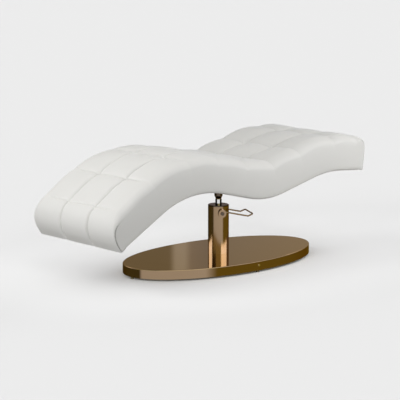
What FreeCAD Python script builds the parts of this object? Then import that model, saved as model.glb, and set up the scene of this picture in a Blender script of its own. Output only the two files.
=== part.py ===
import FreeCAD, Part

import math
import os

import Sketcher
from FreeCAD import Placement, Rotation, Vector

# Curved beauty bed: a quilted wave-shaped bed on a foot-pumped column with an oval base.
# Millimetres. X runs from the foot end to the head end, Z is up, the floor is Z = 0.

doc = FreeCAD.newDocument("curved_beauty_bed")
sheet = doc.addObject("Spreadsheet::Sheet", "Sizes")

driving_sizes = {
    # column axis and foot lever direction
    "column_x": 102.5,
    "lever_turn": -26,
    # underside of the bed: corners of the wave measured from the column axis, and their rounding
    "foot_x": -936,
    "foot_z": 229,
    "arch_x": -474,
    "arch_z": 500,
    "arch_radius": 540,
    "valley_x": 49,
    "valley_z": 373,
    "valley_radius": 510,
    "crest_x": 500,
    "crest_z": 488,
    "crest_radius": 610,
    "head_x": 765,
    "head_z": 468,
    # layers of the bed, as heights square to the underside
    "bed_width": 660,
    "panel_top": 10,
    "rib_low": 10,
    "rib_high": 106,
    "deck_top": 116,
    "foam_top": 148,
    "wrap_level": 150,
    "wrap_inset": 25,
    "wrap_gap": 2,
    "foot_corner": 100,
    "head_corner": 30,
    "side_pad": 13,
    "rib_thickness": 18,
    "inner_rib_y": 82,
    "rail_thickness": 25,
    "rail_gap": 2,
    "end_board_high": 60,
    "deck_inset": 28,
    # quilting: seam rows along the wrap, and how far the cover stands off the foam
    "row_1": 201,
    "row_2": 427,
    "row_3": 676,
    "row_4": 871,
    "row_5": 1066,
    "row_6": 1262,
    "row_7": 1460,
    "row_8": 1722,
    "row_9": 1914,
    "crown_middle": 39,
    "crown_row": 25,
    "seam_middle": 26,
    "seam_tuft": 9,
    "seam_hem": 20,
    "edge_middle": 30,
    "edge_row": 23,
    "edge_roll": 32,
    "side_draw": 3,
    "pillow_power": 0.6,
    "least_slice": 8,
    "foot_corner_slices": 8,
    "head_corner_slices": 4,
    # oval base
    "base_major": 608.5,
    "base_minor": 320.5,
    "cover_bottom": 11,
    "cover_top": 59.3,
    "cover_wall": 2.5,
    "cover_edge": 3,
    "cover_hole_gap": 2,
    "cut_margin": 1,
    "plate_inset": 3.5,
    "plate_bottom": 13,
    "plate_thickness": 8,
    "glide_inset": 11,
    "glide_radius": 9,
    "glide_height": 8,
    "glide_taper": 2,
    "stud_radius": 4,
    "skirt_screw_z": 38,
    "skirt_screw_radius": 2.5,
    "skirt_head_radius": 5.5,
    "skirt_head": 2.6,
    "skirt_screw_length": 20,
    "bracket_inset": 6,
    "bracket_depth": 22,
    "bracket_width": 34,
    "bracket_height": 24,
    # pump and column
    "flange_radius": 100,
    "flange_thickness": 12,
    "flange_bolt_circle": 80,
    "flange_bolt_radius": 5,
    "flange_head_radius": 8.5,
    "flange_head": 6.4,
    "reservoir_radius": 48,
    "reservoir_wall": 5,
    "pressure_radius": 28,
    "pressure_bore": 22,
    "head_bottom": 240,
    "head_top": 314,
    "head_radius": 52,
    "bush_radius": 21,
    "bush_top": 296,
    "seal_top": 312,
    "sleeve_radius": 56,
    "sleeve_wall": 2,
    "sleeve_bore_gap": 1.5,
    "cap_top": 321,
    "cap_chamfer": 2,
    "cap_gap": 0.5,
    "ram_radius": 17,
    "ram_top": 350,
    "ram_chamfer": 1,
    "ram_socket_z": 298,
    "ram_socket_radius": 13,
    "running_gap": 0.05,
    "piston_bottom": 60,
    "piston_height": 24,
    "seal_depth": 4,
    "seal_height": 6,
    "seal_proud": 0.02,
    # foot lever and its pump linkage
    "pivot_z": 282,
    "shaft_radius": 7,
    "shaft_bush_radius": 10,
    "hub_radius": 21.5,
    "hub_inner": 65,
    "hub_outer": 79,
    "rear_pin_depth": 30,
    "pin_cap_gap": 1,
    "pin_cap_radius": 11,
    "pin_cap_height": 3,
    "hub_screw_radius": 10,
    "hub_screw_height": 4,
    "hub_socket_radius": 4,
    "hub_socket_depth": 2.5,
    "rod_radius": 4,
    "rod_offset": 11,
    "rod_root": 13,
    "rod_reach": 145,
    "rod_slope": 12,
    "tip_run": 26,
    "tip_rise": 11,
    "rod_bend": 11,
    "cam_reach": 18,
    "cam_radius": 5,
    "cam_boss_radius": 10.5,
    "cam_width": 10,
    "shaft_overhang": 6,
    "plunger_y": -34,
    "pocket_floor": 258,
    "pocket_behind": 12,
    "pocket_ahead": 27,
    "pocket_half": 8,
    "plunger_low": 248,
    "plunger_radius": 5,
    "plunger_head": 7.5,
    "plunger_head_height": 3,
    "cam_gap": 0.4,
    "spring_wire": 0.8,
    "spring_radius": 6.6,
    "spring_turns": 3,
    # swivel post and bed fixing
    "post_radius": 11,
    "post_neck_radius": 14.5,
    "post_collar_radius": 22,
    "post_neck_z": 352.2,
    "post_collar_z": 368,
    "post_end_gap": 2,
    "washer_height": 2,
    "washer_gap": 0.5,
    "mount_z": 424,
    "mount_length": 200,
    "mount_width": 150,
    "mount_thickness": 8,
    "mount_bolt_x": 80,
    "mount_bolt_y": 48,
    "mount_bolt_radius": 4,
    "mount_head_radius": 6.5,
    "mount_head": 5,
    "mount_bolt_spare": 6,
    "t_nut_radius": 10,
    "t_nut_height": 5,
    "board_length": 260,
    "board_thickness": 24,
    "cleat_size": 20,
    "post_opening": 32,
}
for row, (alias, value) in enumerate(driving_sizes.items(), start=1):
    sheet.set(f"A{row}", alias.replace("_", " "))
    sheet.set(f"B{row}", str(value))
    sheet.setAlias(f"B{row}", alias)
doc.recompute()

parts = []


def size(alias):
    return float(sheet.get(alias))


def amount(expression):
    return float(sheet.evalExpression(expression))


def keep(piece, label):
    piece.Label = label
    parts.append(piece)
    return piece


# The column's own frame: origin on the floor, X along the foot lever, -Y towards the front hub.
column_frame = Placement(
    Vector(size("column_x"), 0, 0), Rotation(Vector(0, 0, 1), size("lever_turn"))
)


# Sketches and features shared by the turned, drilled and sawn pieces


def new_body(label):
    body = doc.addObject("PartDesign::Body", label)
    return keep(body, label)


def new_sketch(body, name, role, level):
    sketch = body.newObject("Sketcher::SketchObject", name)
    plane = next(item for item in body.Origin.OriginFeatures if item.Role == role)
    sketch.AttachmentSupport = [(plane, "")]
    sketch.MapMode = "FlatFace"
    sketch.setExpression("AttachmentOffset.Base.z", level)
    return sketch


def bind(sketch, kind, where, expression):
    index = sketch.addConstraint(Sketcher.Constraint(kind, *where, amount(expression)))
    sketch.setExpression(f"Constraints[{index}]", expression)


def add_circle(sketch, radius, x="0", y="0"):
    centre = Vector(amount(x), amount(y), 0)
    circle = sketch.addGeometry(Part.Circle(centre, Vector(0, 0, 1), amount(radius)), False)
    bind(sketch, "Radius", (circle,), radius)
    bind(sketch, "DistanceX", (circle, 3), x)
    bind(sketch, "DistanceY", (circle, 3), y)


def add_polygon(sketch, corners):
    points = [Vector(amount(x), amount(y), 0) for x, y in corners]
    ends = points[1:] + points[:1]
    lines = [Part.LineSegment(start, end) for start, end in zip(points, ends)]
    first = sketch.addGeometry(lines, False)[0]
    for index, (x, y) in enumerate(corners):
        line = first + index
        following = first + (index + 1) % len(corners)
        sketch.addConstraint(Sketcher.Constraint("Coincident", line, 2, following, 1))
        bind(sketch, "DistanceX", (line, 1), x)
        bind(sketch, "DistanceY", (line, 1), y)


def add_rectangle(sketch, x_low, x_high, y_low, y_high):
    add_polygon(sketch, [(x_low, y_low), (x_high, y_low), (x_high, y_high), (x_low, y_high)])


def pad(body, name, sketch, length):
    feature = body.newObject("PartDesign::Pad", name)
    feature.Profile = sketch
    feature.setExpression("Length", length)
    return feature


def pocket(body, name, sketch, depth):
    feature = body.newObject("PartDesign::Pocket", name)
    feature.Profile = sketch
    feature.setExpression("Length", depth)
    return feature


def ring_pad(body, name, bottom, height, outer, inner=None):
    sketch = new_sketch(body, name + "_outline", "XY_Plane", bottom)
    add_circle(sketch, outer)
    if inner:
        add_circle(sketch, inner)
    return pad(body, name, sketch, height)


def ring(label, bottom, height, outer, inner=None):
    body = new_body(label)
    ring_pad(body, label + "_ring", bottom, height, outer, inner)
    body.Placement = column_frame
    return body


def turned(label, corners):
    body = new_body(label)
    sketch = new_sketch(body, label + "_profile", "XZ_Plane", "0")
    add_polygon(sketch, corners)
    feature = body.newObject("PartDesign::Revolution", label + "_turned")
    feature.Profile = sketch
    feature.ReferenceAxis = (sketch, ["V_Axis"])
    body.Placement = column_frame
    return body


def cross_bore(body, name, start, length, radius, x="0", z="Sizes.pivot_z"):
    # Cut along +Y from Y = -start, in the column's frame.
    sketch = new_sketch(body, name + "_outline", "XZ_Plane", start)
    add_circle(sketch, radius, x, z)
    return pocket(body, name, sketch, length)


def primitive(kind, name, place=Placement(), **bound):
    piece = doc.addObject(kind, name)
    for key, expression in bound.items():
        piece.setExpression(key, expression)
    piece.Placement = place
    return piece


def cut(label, base, tool):
    piece = doc.addObject("Part::Cut", label)
    piece.Base = base
    piece.Tool = tool
    return piece


def group(label, template, places):
    doc.recompute()
    copies = []
    for place in places:
        copy = template.Shape.copy()
        copy.Placement = place.multiply(template.Placement)
        copies.append(copy)
    piece = doc.addObject("Part::Feature", label)
    piece.Shape = Part.makeCompound(copies)
    return keep(piece, label)


def screw(name, shank_radius, shank_length, head_radius, head_height):
    # The screw points along -Z with the underside of its head on Z = 0.
    shank = primitive("Part::Cylinder", name + "_shank", Radius=shank_radius, Height=shank_length)
    shank.setExpression("Placement.Base.z", f"-({shank_length})")
    head = primitive("Part::Cylinder", name + "_head", Radius=head_radius, Height=head_height)
    whole = doc.addObject("Part::Fuse", name)
    whole.Base = shank
    whole.Tool = head
    return whole


# Oval base: cover, plate, glides, and the screws that hold the cover

rim_turns = (0, 90, 180, 270)
screw_turns = (90, 270)


def rim_place(turn, inset, z):
    # A frame on the end of an oval axis, its X pointing out through the skirt.
    reach = size("base_major") if turn % 180 == 0 else size("base_minor")
    direction = Rotation(Vector(0, 0, 1), turn).multVec(Vector(reach - inset, 0, 0))
    base = direction + Vector(size("column_x"), 0, z)
    return Placement(base, Rotation(Vector(0, 0, 1), turn))


def oval_slab(name, inset, bottom, height):
    # The outline's two halves meet away from the axis ends, where screws pass through the skirt.
    oval = Part.Ellipse(Vector(), size("base_major") - amount(inset), size("base_minor") - amount(inset))
    joints = [math.radians(turn) for turn in (45, 225, 405)]
    outline = doc.addObject("Part::Feature", name + "_outline")
    outline.Shape = Part.Wire([oval.toShape(*ends) for ends in zip(joints, joints[1:])])
    outline.setExpression("Placement.Base.x", "Sizes.column_x")
    outline.setExpression("Placement.Base.z", bottom)
    slab = doc.addObject("Part::Extrusion", name)
    slab.Base = outline
    slab.DirMode = "Custom"
    slab.Dir = Vector(0, 0, 1)
    slab.Solid = True
    slab.setExpression("LengthFwd", height)
    return slab


def along_rim(tilt):
    return Rotation(Vector(0, 1, 0), tilt)


def rim_holes(name, radius, length, places):
    hole = primitive("Part::Cylinder", name + "_single", Radius=radius, Height=length)
    doc.recompute()
    holes = doc.addObject("Part::Feature", name)
    shapes = []
    for place in places:
        shape = hole.Shape.copy()
        shape.Placement = place
        shapes.append(shape)
    holes.Shape = Part.makeCompound(shapes)
    return holes


def make_base_cover():
    skirt_height = "Sizes.cover_top - Sizes.cover_bottom"
    outside = oval_slab("cover_outside", "0", "Sizes.cover_bottom", skirt_height)
    doc.recompute()
    rim = [
        index for index, edge in enumerate(outside.Shape.Edges, start=1)
        if edge.BoundBox.ZMin > size("cover_top") - size("cover_edge")
    ]
    rounded = doc.addObject("Part::Fillet", "cover_rounded")
    rounded.Base = outside
    rounded.Edges = [(index, size("cover_edge"), size("cover_edge")) for index in rim]
    hollow_height = f"{skirt_height} - Sizes.cover_wall"
    hollow = oval_slab("cover_hollow", "Sizes.cover_wall", "Sizes.cover_bottom", hollow_height)
    shell = cut("cover_shell", rounded, hollow)
    column_hole = primitive(
        "Part::Cylinder", "cover_column_hole",
        Radius="Sizes.reservoir_radius + Sizes.cover_hole_gap", Height="Sizes.cover_top",
    )
    column_hole.setExpression("Placement.Base.x", "Sizes.column_x")
    column_hole.setExpression("Placement.Base.z", "Sizes.cover_bottom")
    open_shell = cut("cover_open_shell", shell, column_hole)
    inward = Placement(Vector(), along_rim(-90))
    outside_skirt = -size("cut_margin")
    z = size("skirt_screw_z")
    places = [rim_place(turn, outside_skirt, z).multiply(inward) for turn in screw_turns]
    drill = "Sizes.cover_wall + 3 * Sizes.cut_margin"
    holes = rim_holes("cover_screw_holes", "Sizes.skirt_screw_radius", drill, places)
    keep(cut("base_cover", open_shell, holes), "base_cover")


def flange_bolt_points():
    radius = size("flange_bolt_circle")
    points = []
    for turn in rim_turns:
        angle = math.radians(turn + 45)
        points.append(Vector(radius * math.cos(angle), radius * math.sin(angle), 0))
    return points


def make_base_plate():
    slab = oval_slab("plate_slab", "Sizes.plate_inset", "Sizes.plate_bottom", "Sizes.plate_thickness")
    low = size("plate_bottom") - size("cut_margin")
    through = "Sizes.plate_thickness + 2 * Sizes.cut_margin"
    studs = [rim_place(turn, size("glide_inset"), low) for turn in rim_turns]
    stud_holes = rim_holes("plate_stud_holes", "Sizes.stud_radius", through, studs)
    drilled = cut("plate_drilled", slab, stud_holes)
    axis = Vector(size("column_x"), 0, low)
    bolts = [Placement(axis + point, Rotation()) for point in flange_bolt_points()]
    bolt_holes = rim_holes("plate_bolt_holes", "Sizes.flange_bolt_radius", through, bolts)
    keep(cut("base_plate", drilled, bolt_holes), "base_plate")


def make_glides():
    places = [rim_place(turn, size("glide_inset"), 0) for turn in rim_turns]
    glide = primitive(
        "Part::Cone", "glide_single", Radius1="Sizes.glide_radius",
        Radius2="Sizes.glide_radius - Sizes.glide_taper", Height="Sizes.glide_height",
    )
    group("foot_glides", glide, places)
    stud = primitive("Part::Cylinder", "stud_single", Radius="Sizes.stud_radius")
    stud.setExpression("Height", "Sizes.plate_bottom + Sizes.plate_thickness - Sizes.glide_height")
    stud.setExpression("Placement.Base.z", "Sizes.glide_height")
    group("glide_studs", stud, places)


def make_cover_fixings():
    plate_top = size("plate_bottom") + size("plate_thickness")
    block = primitive(
        "Part::Box", "bracket_block", Length="Sizes.bracket_depth",
        Width="Sizes.bracket_width", Height="Sizes.bracket_height",
    )
    block.setExpression("Placement.Base.x", "-Sizes.bracket_depth")
    block.setExpression("Placement.Base.y", "-Sizes.bracket_width / 2")
    thread = primitive(
        "Part::Cylinder", "bracket_thread", Placement(Vector(), along_rim(-90)),
        Radius="Sizes.skirt_screw_radius", Height="Sizes.bracket_depth + Sizes.cut_margin",
    )
    screw_height = "Sizes.skirt_screw_z - Sizes.plate_bottom - Sizes.plate_thickness"
    thread.setExpression("Placement.Base.z", screw_height)
    bracket = cut("bracket_single", block, thread)
    inset = size("bracket_inset")
    group("cover_brackets", bracket, [rim_place(turn, inset, plate_top) for turn in screw_turns])
    fixing = screw(
        "skirt_screw", "Sizes.skirt_screw_radius", "Sizes.skirt_screw_length",
        "Sizes.skirt_head_radius", "Sizes.skirt_head",
    )
    outward = Placement(Vector(), along_rim(90))
    z = size("skirt_screw_z")
    group("cover_screws", fixing, [rim_place(turn, 0, z).multiply(outward) for turn in screw_turns])


# Hydraulic column: flange, tubes, head, bushes, sleeve and cap


def make_pump_body():
    flange = ring(
        "pump_flange", "Sizes.plate_bottom + Sizes.plate_thickness", "Sizes.flange_thickness",
        "Sizes.flange_radius", "Sizes.reservoir_radius",
    )
    flange.Placement = Placement(Vector(size("column_x"), 0, 0), Rotation())
    flange_top = "Sizes.plate_bottom + Sizes.plate_thickness + Sizes.flange_thickness"
    holes = new_sketch(flange, "flange_bolt_holes", "XY_Plane", flange_top)
    for point in flange_bolt_points():
        add_circle(holes, "Sizes.flange_bolt_radius", str(point.x), str(point.y))
    pocket(flange, "flange_drilled", holes, "Sizes.flange_thickness")
    bolt_length = "Sizes.plate_thickness + Sizes.flange_thickness"
    bolt = screw(
        "flange_bolt", "Sizes.flange_bolt_radius", bolt_length,
        "Sizes.flange_head_radius", "Sizes.flange_head",
    )
    axis = Vector(size("column_x"), 0, amount(flange_top))
    group("flange_bolts", bolt, [Placement(axis + point, Rotation()) for point in flange_bolt_points()])
    seat = "Sizes.plate_bottom + Sizes.plate_thickness"
    inside = "Sizes.reservoir_radius - Sizes.reservoir_wall"
    ring("cylinder_end", seat, "Sizes.flange_thickness", inside)
    ring("reservoir_tube", seat, f"Sizes.head_bottom - ({seat})", "Sizes.reservoir_radius", inside)
    tube_height = f"Sizes.head_bottom - ({flange_top})"
    ring("pressure_tube", flange_top, tube_height, "Sizes.pressure_radius", "Sizes.pressure_bore")


def make_pump_head():
    head = new_body("pump_head")
    height = "Sizes.head_top - Sizes.head_bottom"
    ring_pad(head, "head_block", "Sizes.head_bottom", height, "Sizes.head_radius", "Sizes.bush_radius")
    # Pocket for the cam, open to the top under the cap
    cam_pocket = new_sketch(head, "cam_pocket_outline", "XY_Plane", "Sizes.head_top")
    y_low = "Sizes.plunger_y - Sizes.pocket_half"
    y_high = "Sizes.plunger_y + Sizes.pocket_half"
    add_rectangle(cam_pocket, "-Sizes.pocket_behind", "Sizes.pocket_ahead", y_low, y_high)
    pocket(head, "cam_pocket", cam_pocket, "Sizes.head_top - Sizes.pocket_floor")
    plunger_bore = new_sketch(head, "plunger_bore_outline", "XY_Plane", "Sizes.pocket_floor")
    bore = "Sizes.plunger_radius + Sizes.running_gap"
    add_circle(plunger_bore, bore, "Sizes.cam_reach", "Sizes.plunger_y")
    pocket(head, "plunger_bore", plunger_bore, "Sizes.pocket_floor - Sizes.head_bottom")
    front_start = "Sizes.head_radius + Sizes.cut_margin"
    front_length = f"{front_start} + Sizes.plunger_y"
    cross_bore(head, "front_bore", front_start, front_length, "Sizes.shaft_bush_radius")
    cross_bore(head, "rear_bore", "-Sizes.rear_pin_depth", "Sizes.head_radius", "Sizes.shaft_radius")
    head.Placement = column_frame
    bush_height = "Sizes.bush_top - Sizes.head_bottom"
    ram_bore = "Sizes.ram_radius + Sizes.running_gap"
    ring("guide_bush", "Sizes.head_bottom", bush_height, "Sizes.bush_radius", ram_bore)
    ring("rod_seal", "Sizes.bush_top", "Sizes.seal_top - Sizes.bush_top", "Sizes.bush_radius", ram_bore)


def make_column_cover():
    sleeve = ring(
        "column_sleeve", "Sizes.cover_top", "Sizes.head_top - Sizes.cover_top",
        "Sizes.sleeve_radius", "Sizes.sleeve_radius - Sizes.sleeve_wall",
    )
    start = "Sizes.sleeve_radius + Sizes.cut_margin"
    bore = "Sizes.shaft_radius + Sizes.sleeve_bore_gap"
    cross_bore(sleeve, "sleeve_bores", start, f"2 * ({start})", bore)
    hole = "Sizes.ram_radius + Sizes.cap_gap"
    shoulder = "Sizes.sleeve_radius - Sizes.cap_chamfer"
    turned("column_cap", [
        (hole, "Sizes.head_top"),
        ("Sizes.sleeve_radius", "Sizes.head_top"),
        ("Sizes.sleeve_radius", "Sizes.cap_top - Sizes.cap_chamfer"),
        (shoulder, "Sizes.cap_top"),
        (hole, "Sizes.cap_top"),
    ])


# Ram with its piston and the swivel socket in its top


def make_ram():
    turned("ram", [
        ("0", "Sizes.piston_bottom + Sizes.piston_height"),
        ("Sizes.ram_radius", "Sizes.piston_bottom + Sizes.piston_height"),
        ("Sizes.ram_radius", "Sizes.ram_top - Sizes.ram_chamfer"),
        ("Sizes.ram_radius - Sizes.ram_chamfer", "Sizes.ram_top"),
        ("Sizes.ram_socket_radius", "Sizes.ram_top"),
        ("Sizes.ram_socket_radius", "Sizes.ram_socket_z"),
        ("0", "Sizes.ram_socket_z"),
    ])
    rim = "Sizes.pressure_bore - Sizes.running_gap"
    groove = f"{rim} - Sizes.seal_depth"
    groove_low = "Sizes.piston_bottom + Sizes.piston_height / 2 - Sizes.seal_height / 2"
    groove_high = f"{groove_low} + Sizes.seal_height"
    turned("piston", [
        ("0", "Sizes.piston_bottom"),
        (rim, "Sizes.piston_bottom"),
        (rim, groove_low),
        (groove, groove_low),
        (groove, groove_high),
        (rim, groove_high),
        (rim, "Sizes.piston_bottom + Sizes.piston_height"),
        ("0", "Sizes.piston_bottom + Sizes.piston_height"),
    ])
    ring("piston_seal", groove_low, "Sizes.seal_height", f"{rim} + Sizes.seal_proud", groove)
    socket_depth = "Sizes.ram_top - Sizes.ram_socket_z"
    post_bore = "Sizes.post_radius + Sizes.running_gap"
    ring("swivel_bush", "Sizes.ram_socket_z", socket_depth, "Sizes.ram_socket_radius", post_bore)
    washer_bore = "Sizes.post_radius + Sizes.washer_gap"
    washer = "Sizes.ram_radius - Sizes.ram_chamfer"
    ring("thrust_washer", "Sizes.ram_top", "Sizes.washer_height", washer, washer_bore)


# Foot lever: hubs, rocker shaft, cam, rear pin and the bent rod


def lying_rod(label, y_low, y_high, radius, x="0", z="Sizes.pivot_z"):
    # A round bar along Y in the column's frame.
    body = new_body(label)
    sketch = new_sketch(body, label + "_outline", "XZ_Plane", f"-({y_low})")
    add_circle(sketch, radius, x, z)
    feature = pad(body, label + "_bar", sketch, f"({y_high}) - ({y_low})")
    feature.Reversed = True
    body.Placement = column_frame
    return body


def rounded_path(points, radii):
    # Straight runs through the points, with tangent arcs at the inner ones.
    path = []
    start = points[0]
    for before, corner, after, radius in zip(points, points[1:], points[2:], radii):
        back = (before - corner).normalize()
        ahead = (after - corner).normalize()
        half = back.getAngle(ahead) / 2
        reach = radius / math.tan(half)
        middle = (back + ahead).normalize()
        arc_start = corner + back * reach
        arc_middle = corner + middle * (radius / math.sin(half) - radius)
        arc_end = corner + ahead * reach
        path.append(Part.LineSegment(start, arc_start))
        path.append(Part.Arc(arc_start, arc_middle, arc_end))
        start = arc_end
    path.append(Part.LineSegment(start, points[-1]))
    return path


def make_foot_lever():
    side = (size("hub_inner") + size("hub_outer")) / 2
    slope = math.tan(math.radians(size("rod_slope")))
    root_x = size("rod_root")
    root_z = size("pivot_z") + size("rod_offset") - root_x * slope
    bend_z = size("pivot_z") + size("rod_offset") - size("rod_reach") * slope
    tip_x = size("rod_reach") + size("tip_run")
    tip_z = bend_z + size("tip_rise")
    points = [
        Vector(root_x, -side, root_z),
        Vector(size("rod_reach"), -side, bend_z),
        Vector(tip_x, -side, tip_z),
        Vector(tip_x, side, tip_z),
        Vector(size("rod_reach"), side, bend_z),
        Vector(root_x, side, root_z),
    ]
    path = rounded_path(points, [size("rod_bend")] * 4)
    spine = Part.Wire([run.toShape() for run in path])
    along = (points[1] - points[0]).normalize()
    round_section = Part.Wire([Part.Circle(points[0], along, size("rod_radius")).toShape()])
    rod = spine.makePipeShell([round_section], True, False)
    width = 2 * size("hub_outer")
    hub_start = Vector(0, -size("hub_outer"), size("pivot_z"))
    hubs = Part.makeCylinder(size("hub_radius"), width, hub_start, Vector(0, 1, 0))
    lever = doc.addObject("Part::Feature", "foot_lever")
    lever.Shape = rod.cut(hubs)
    lever.Placement = column_frame
    keep(lever, "foot_lever")


def make_lever_linkage():
    margin = "Sizes.cut_margin"
    hub_width = f"Sizes.hub_outer - Sizes.hub_inner + 2 * {margin}"
    front_hub = lying_rod("front_hub", "-Sizes.hub_outer", "-Sizes.hub_inner", "Sizes.hub_radius")
    cross_bore(front_hub, "front_hub_bore", f"Sizes.hub_outer + {margin}", hub_width, "Sizes.shaft_radius")
    rear_hub = lying_rod("rear_hub", "Sizes.hub_inner", "Sizes.hub_outer", "Sizes.hub_radius")
    pin_bore = "Sizes.shaft_radius + Sizes.running_gap"
    cross_bore(rear_hub, "rear_hub_bore", f"{margin} - Sizes.hub_inner", hub_width, pin_bore)
    shaft_end = "Sizes.plunger_y + Sizes.shaft_overhang"
    lying_rod("rocker_shaft", "-Sizes.hub_outer", shaft_end, "Sizes.shaft_radius")
    bush_end = "Sizes.plunger_y - Sizes.pocket_half"
    shaft_bush = lying_rod("shaft_bush", "-Sizes.head_radius", bush_end, "Sizes.shaft_bush_radius")
    cross_bore(shaft_bush, "shaft_bush_bore", f"Sizes.head_radius + {margin}", hub_width, pin_bore)
    pin_end = "Sizes.hub_outer + Sizes.pin_cap_gap"
    lying_rod("rear_pivot_pin", "Sizes.rear_pin_depth", pin_end, "Sizes.shaft_radius")
    lying_rod("rear_pin_cap", pin_end, f"{pin_end} + Sizes.pin_cap_height", "Sizes.pin_cap_radius")
    screw_face = "Sizes.hub_outer + Sizes.hub_screw_height"
    hub_screw = lying_rod("front_hub_screw", f"-({screw_face})", "-Sizes.hub_outer", "Sizes.hub_screw_radius")
    socket = new_sketch(hub_screw, "hub_socket_outline", "XZ_Plane", screw_face)
    corner = Vector(size("hub_socket_radius"), 0, 0)
    points = [Rotation(Vector(0, 0, 1), 60 * turn).multVec(corner) for turn in range(6)]
    add_polygon(socket, [(str(point.x), f"Sizes.pivot_z + {point.y}") for point in points])
    pocket(hub_screw, "hub_socket", socket, "Sizes.hub_socket_depth")


def make_cam():
    # A ring on the rocker shaft with a round nose that presses the plunger.
    cam = new_body("rocker_cam")
    face = "Sizes.cam_width / 2 - Sizes.plunger_y"

    def cam_sketch(name):
        return new_sketch(cam, f"cam_{name}_outline", "XZ_Plane", face)

    boss = cam_sketch("boss")
    add_circle(boss, "Sizes.cam_boss_radius", "0", "Sizes.pivot_z")
    arm = cam_sketch("arm")
    low = "Sizes.pivot_z - Sizes.cam_radius"
    add_rectangle(arm, "0", "Sizes.cam_reach", low, "Sizes.pivot_z + Sizes.cam_radius")
    nose = cam_sketch("nose")
    add_circle(nose, "Sizes.cam_radius", "Sizes.cam_reach", "Sizes.pivot_z")
    for name, sketch in (("boss", boss), ("arm", arm), ("nose", nose)):
        pad(cam, "cam_" + name, sketch, "Sizes.cam_width").Reversed = True
    bore_start = f"{face} + Sizes.cut_margin"
    cross_bore(cam, "cam_bore", bore_start, "Sizes.cam_width + 2 * Sizes.cut_margin", "Sizes.shaft_radius")
    cam.Placement = column_frame


def make_plunger():
    plunger = new_body("pump_plunger")
    head_top = "Sizes.pivot_z - Sizes.cam_radius - Sizes.cam_gap"
    head_low = f"{head_top} - Sizes.plunger_head_height"
    x = "Sizes.cam_reach"
    y = "Sizes.plunger_y"
    stem = new_sketch(plunger, "plunger_stem_outline", "XY_Plane", "Sizes.plunger_low")
    add_circle(stem, "Sizes.plunger_radius", x, y)
    pad(plunger, "plunger_stem", stem, f"{head_low} - Sizes.plunger_low")
    head = new_sketch(plunger, "plunger_head_outline", "XY_Plane", head_low)
    add_circle(head, "Sizes.plunger_head", x, y)
    pad(plunger, "plunger_top", head, "Sizes.plunger_head_height")
    plunger.Placement = column_frame
    return amount(head_low)


def make_plunger_spring(top):
    wire = size("spring_wire")
    low = size("pocket_floor") + wire
    quarters = 4 * int(size("spring_turns"))
    centre = Vector(size("cam_reach"), size("plunger_y"), low)
    climb = (top - wire - low) / quarters

    def on_coil(quarter):
        angle = quarter * math.pi / 2
        arm = Vector(math.cos(angle), math.sin(angle), 0) * size("spring_radius")
        return centre + arm + Vector(0, 0, climb * quarter)

    arcs = [Part.Arc(on_coil(q), on_coil(q + 0.5), on_coil(q + 1)).toShape() for q in range(quarters)]
    along = arcs[0].tangentAt(arcs[0].FirstParameter)
    section = Part.Wire([Part.Circle(on_coil(0), along, wire).toShape()])
    spring = doc.addObject("Part::Feature", "plunger_spring")
    spring.Shape = Part.Wire(arcs).makePipeShell([section], True, False)
    spring.Placement = column_frame
    keep(spring, "plunger_spring")
    print("plunger spring: gap between turns", round(4 * climb - 2 * wire, 2), "mm")


# Swivel post and the plate that carries the bed


def make_swivel_post():
    turned("swivel_post", [
        ("0", "Sizes.ram_socket_z + Sizes.post_end_gap"),
        ("Sizes.post_radius", "Sizes.ram_socket_z + Sizes.post_end_gap"),
        ("Sizes.post_radius", "Sizes.post_neck_z"),
        ("Sizes.post_neck_radius", "Sizes.post_neck_z"),
        ("Sizes.post_collar_radius", "Sizes.post_collar_z"),
        ("Sizes.post_collar_radius", "Sizes.mount_z"),
        ("0", "Sizes.mount_z"),
    ])


def mount_points():
    x = size("mount_bolt_x")
    y = size("mount_bolt_y")
    return [Vector(i * x, j * y, 0) for i in (-1, 1) for j in (-1, 1)]


def drilled_board(label, bottom, length, width, thickness):
    board = new_body(label)
    outline = new_sketch(board, label + "_outline", "XY_Plane", bottom)
    add_rectangle(outline, f"-{length} / 2", f"{length} / 2", f"-{width} / 2", f"{width} / 2")
    pad(board, label + "_slab", outline, thickness)
    holes = new_sketch(board, label + "_holes", "XY_Plane", f"{bottom} + {thickness}")
    for point in mount_points():
        add_circle(holes, "Sizes.mount_bolt_radius", str(point.x), str(point.y))
    pocket(board, label + "_drilled", holes, thickness)
    board.setExpression("Placement.Base.x", "Sizes.column_x")


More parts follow.
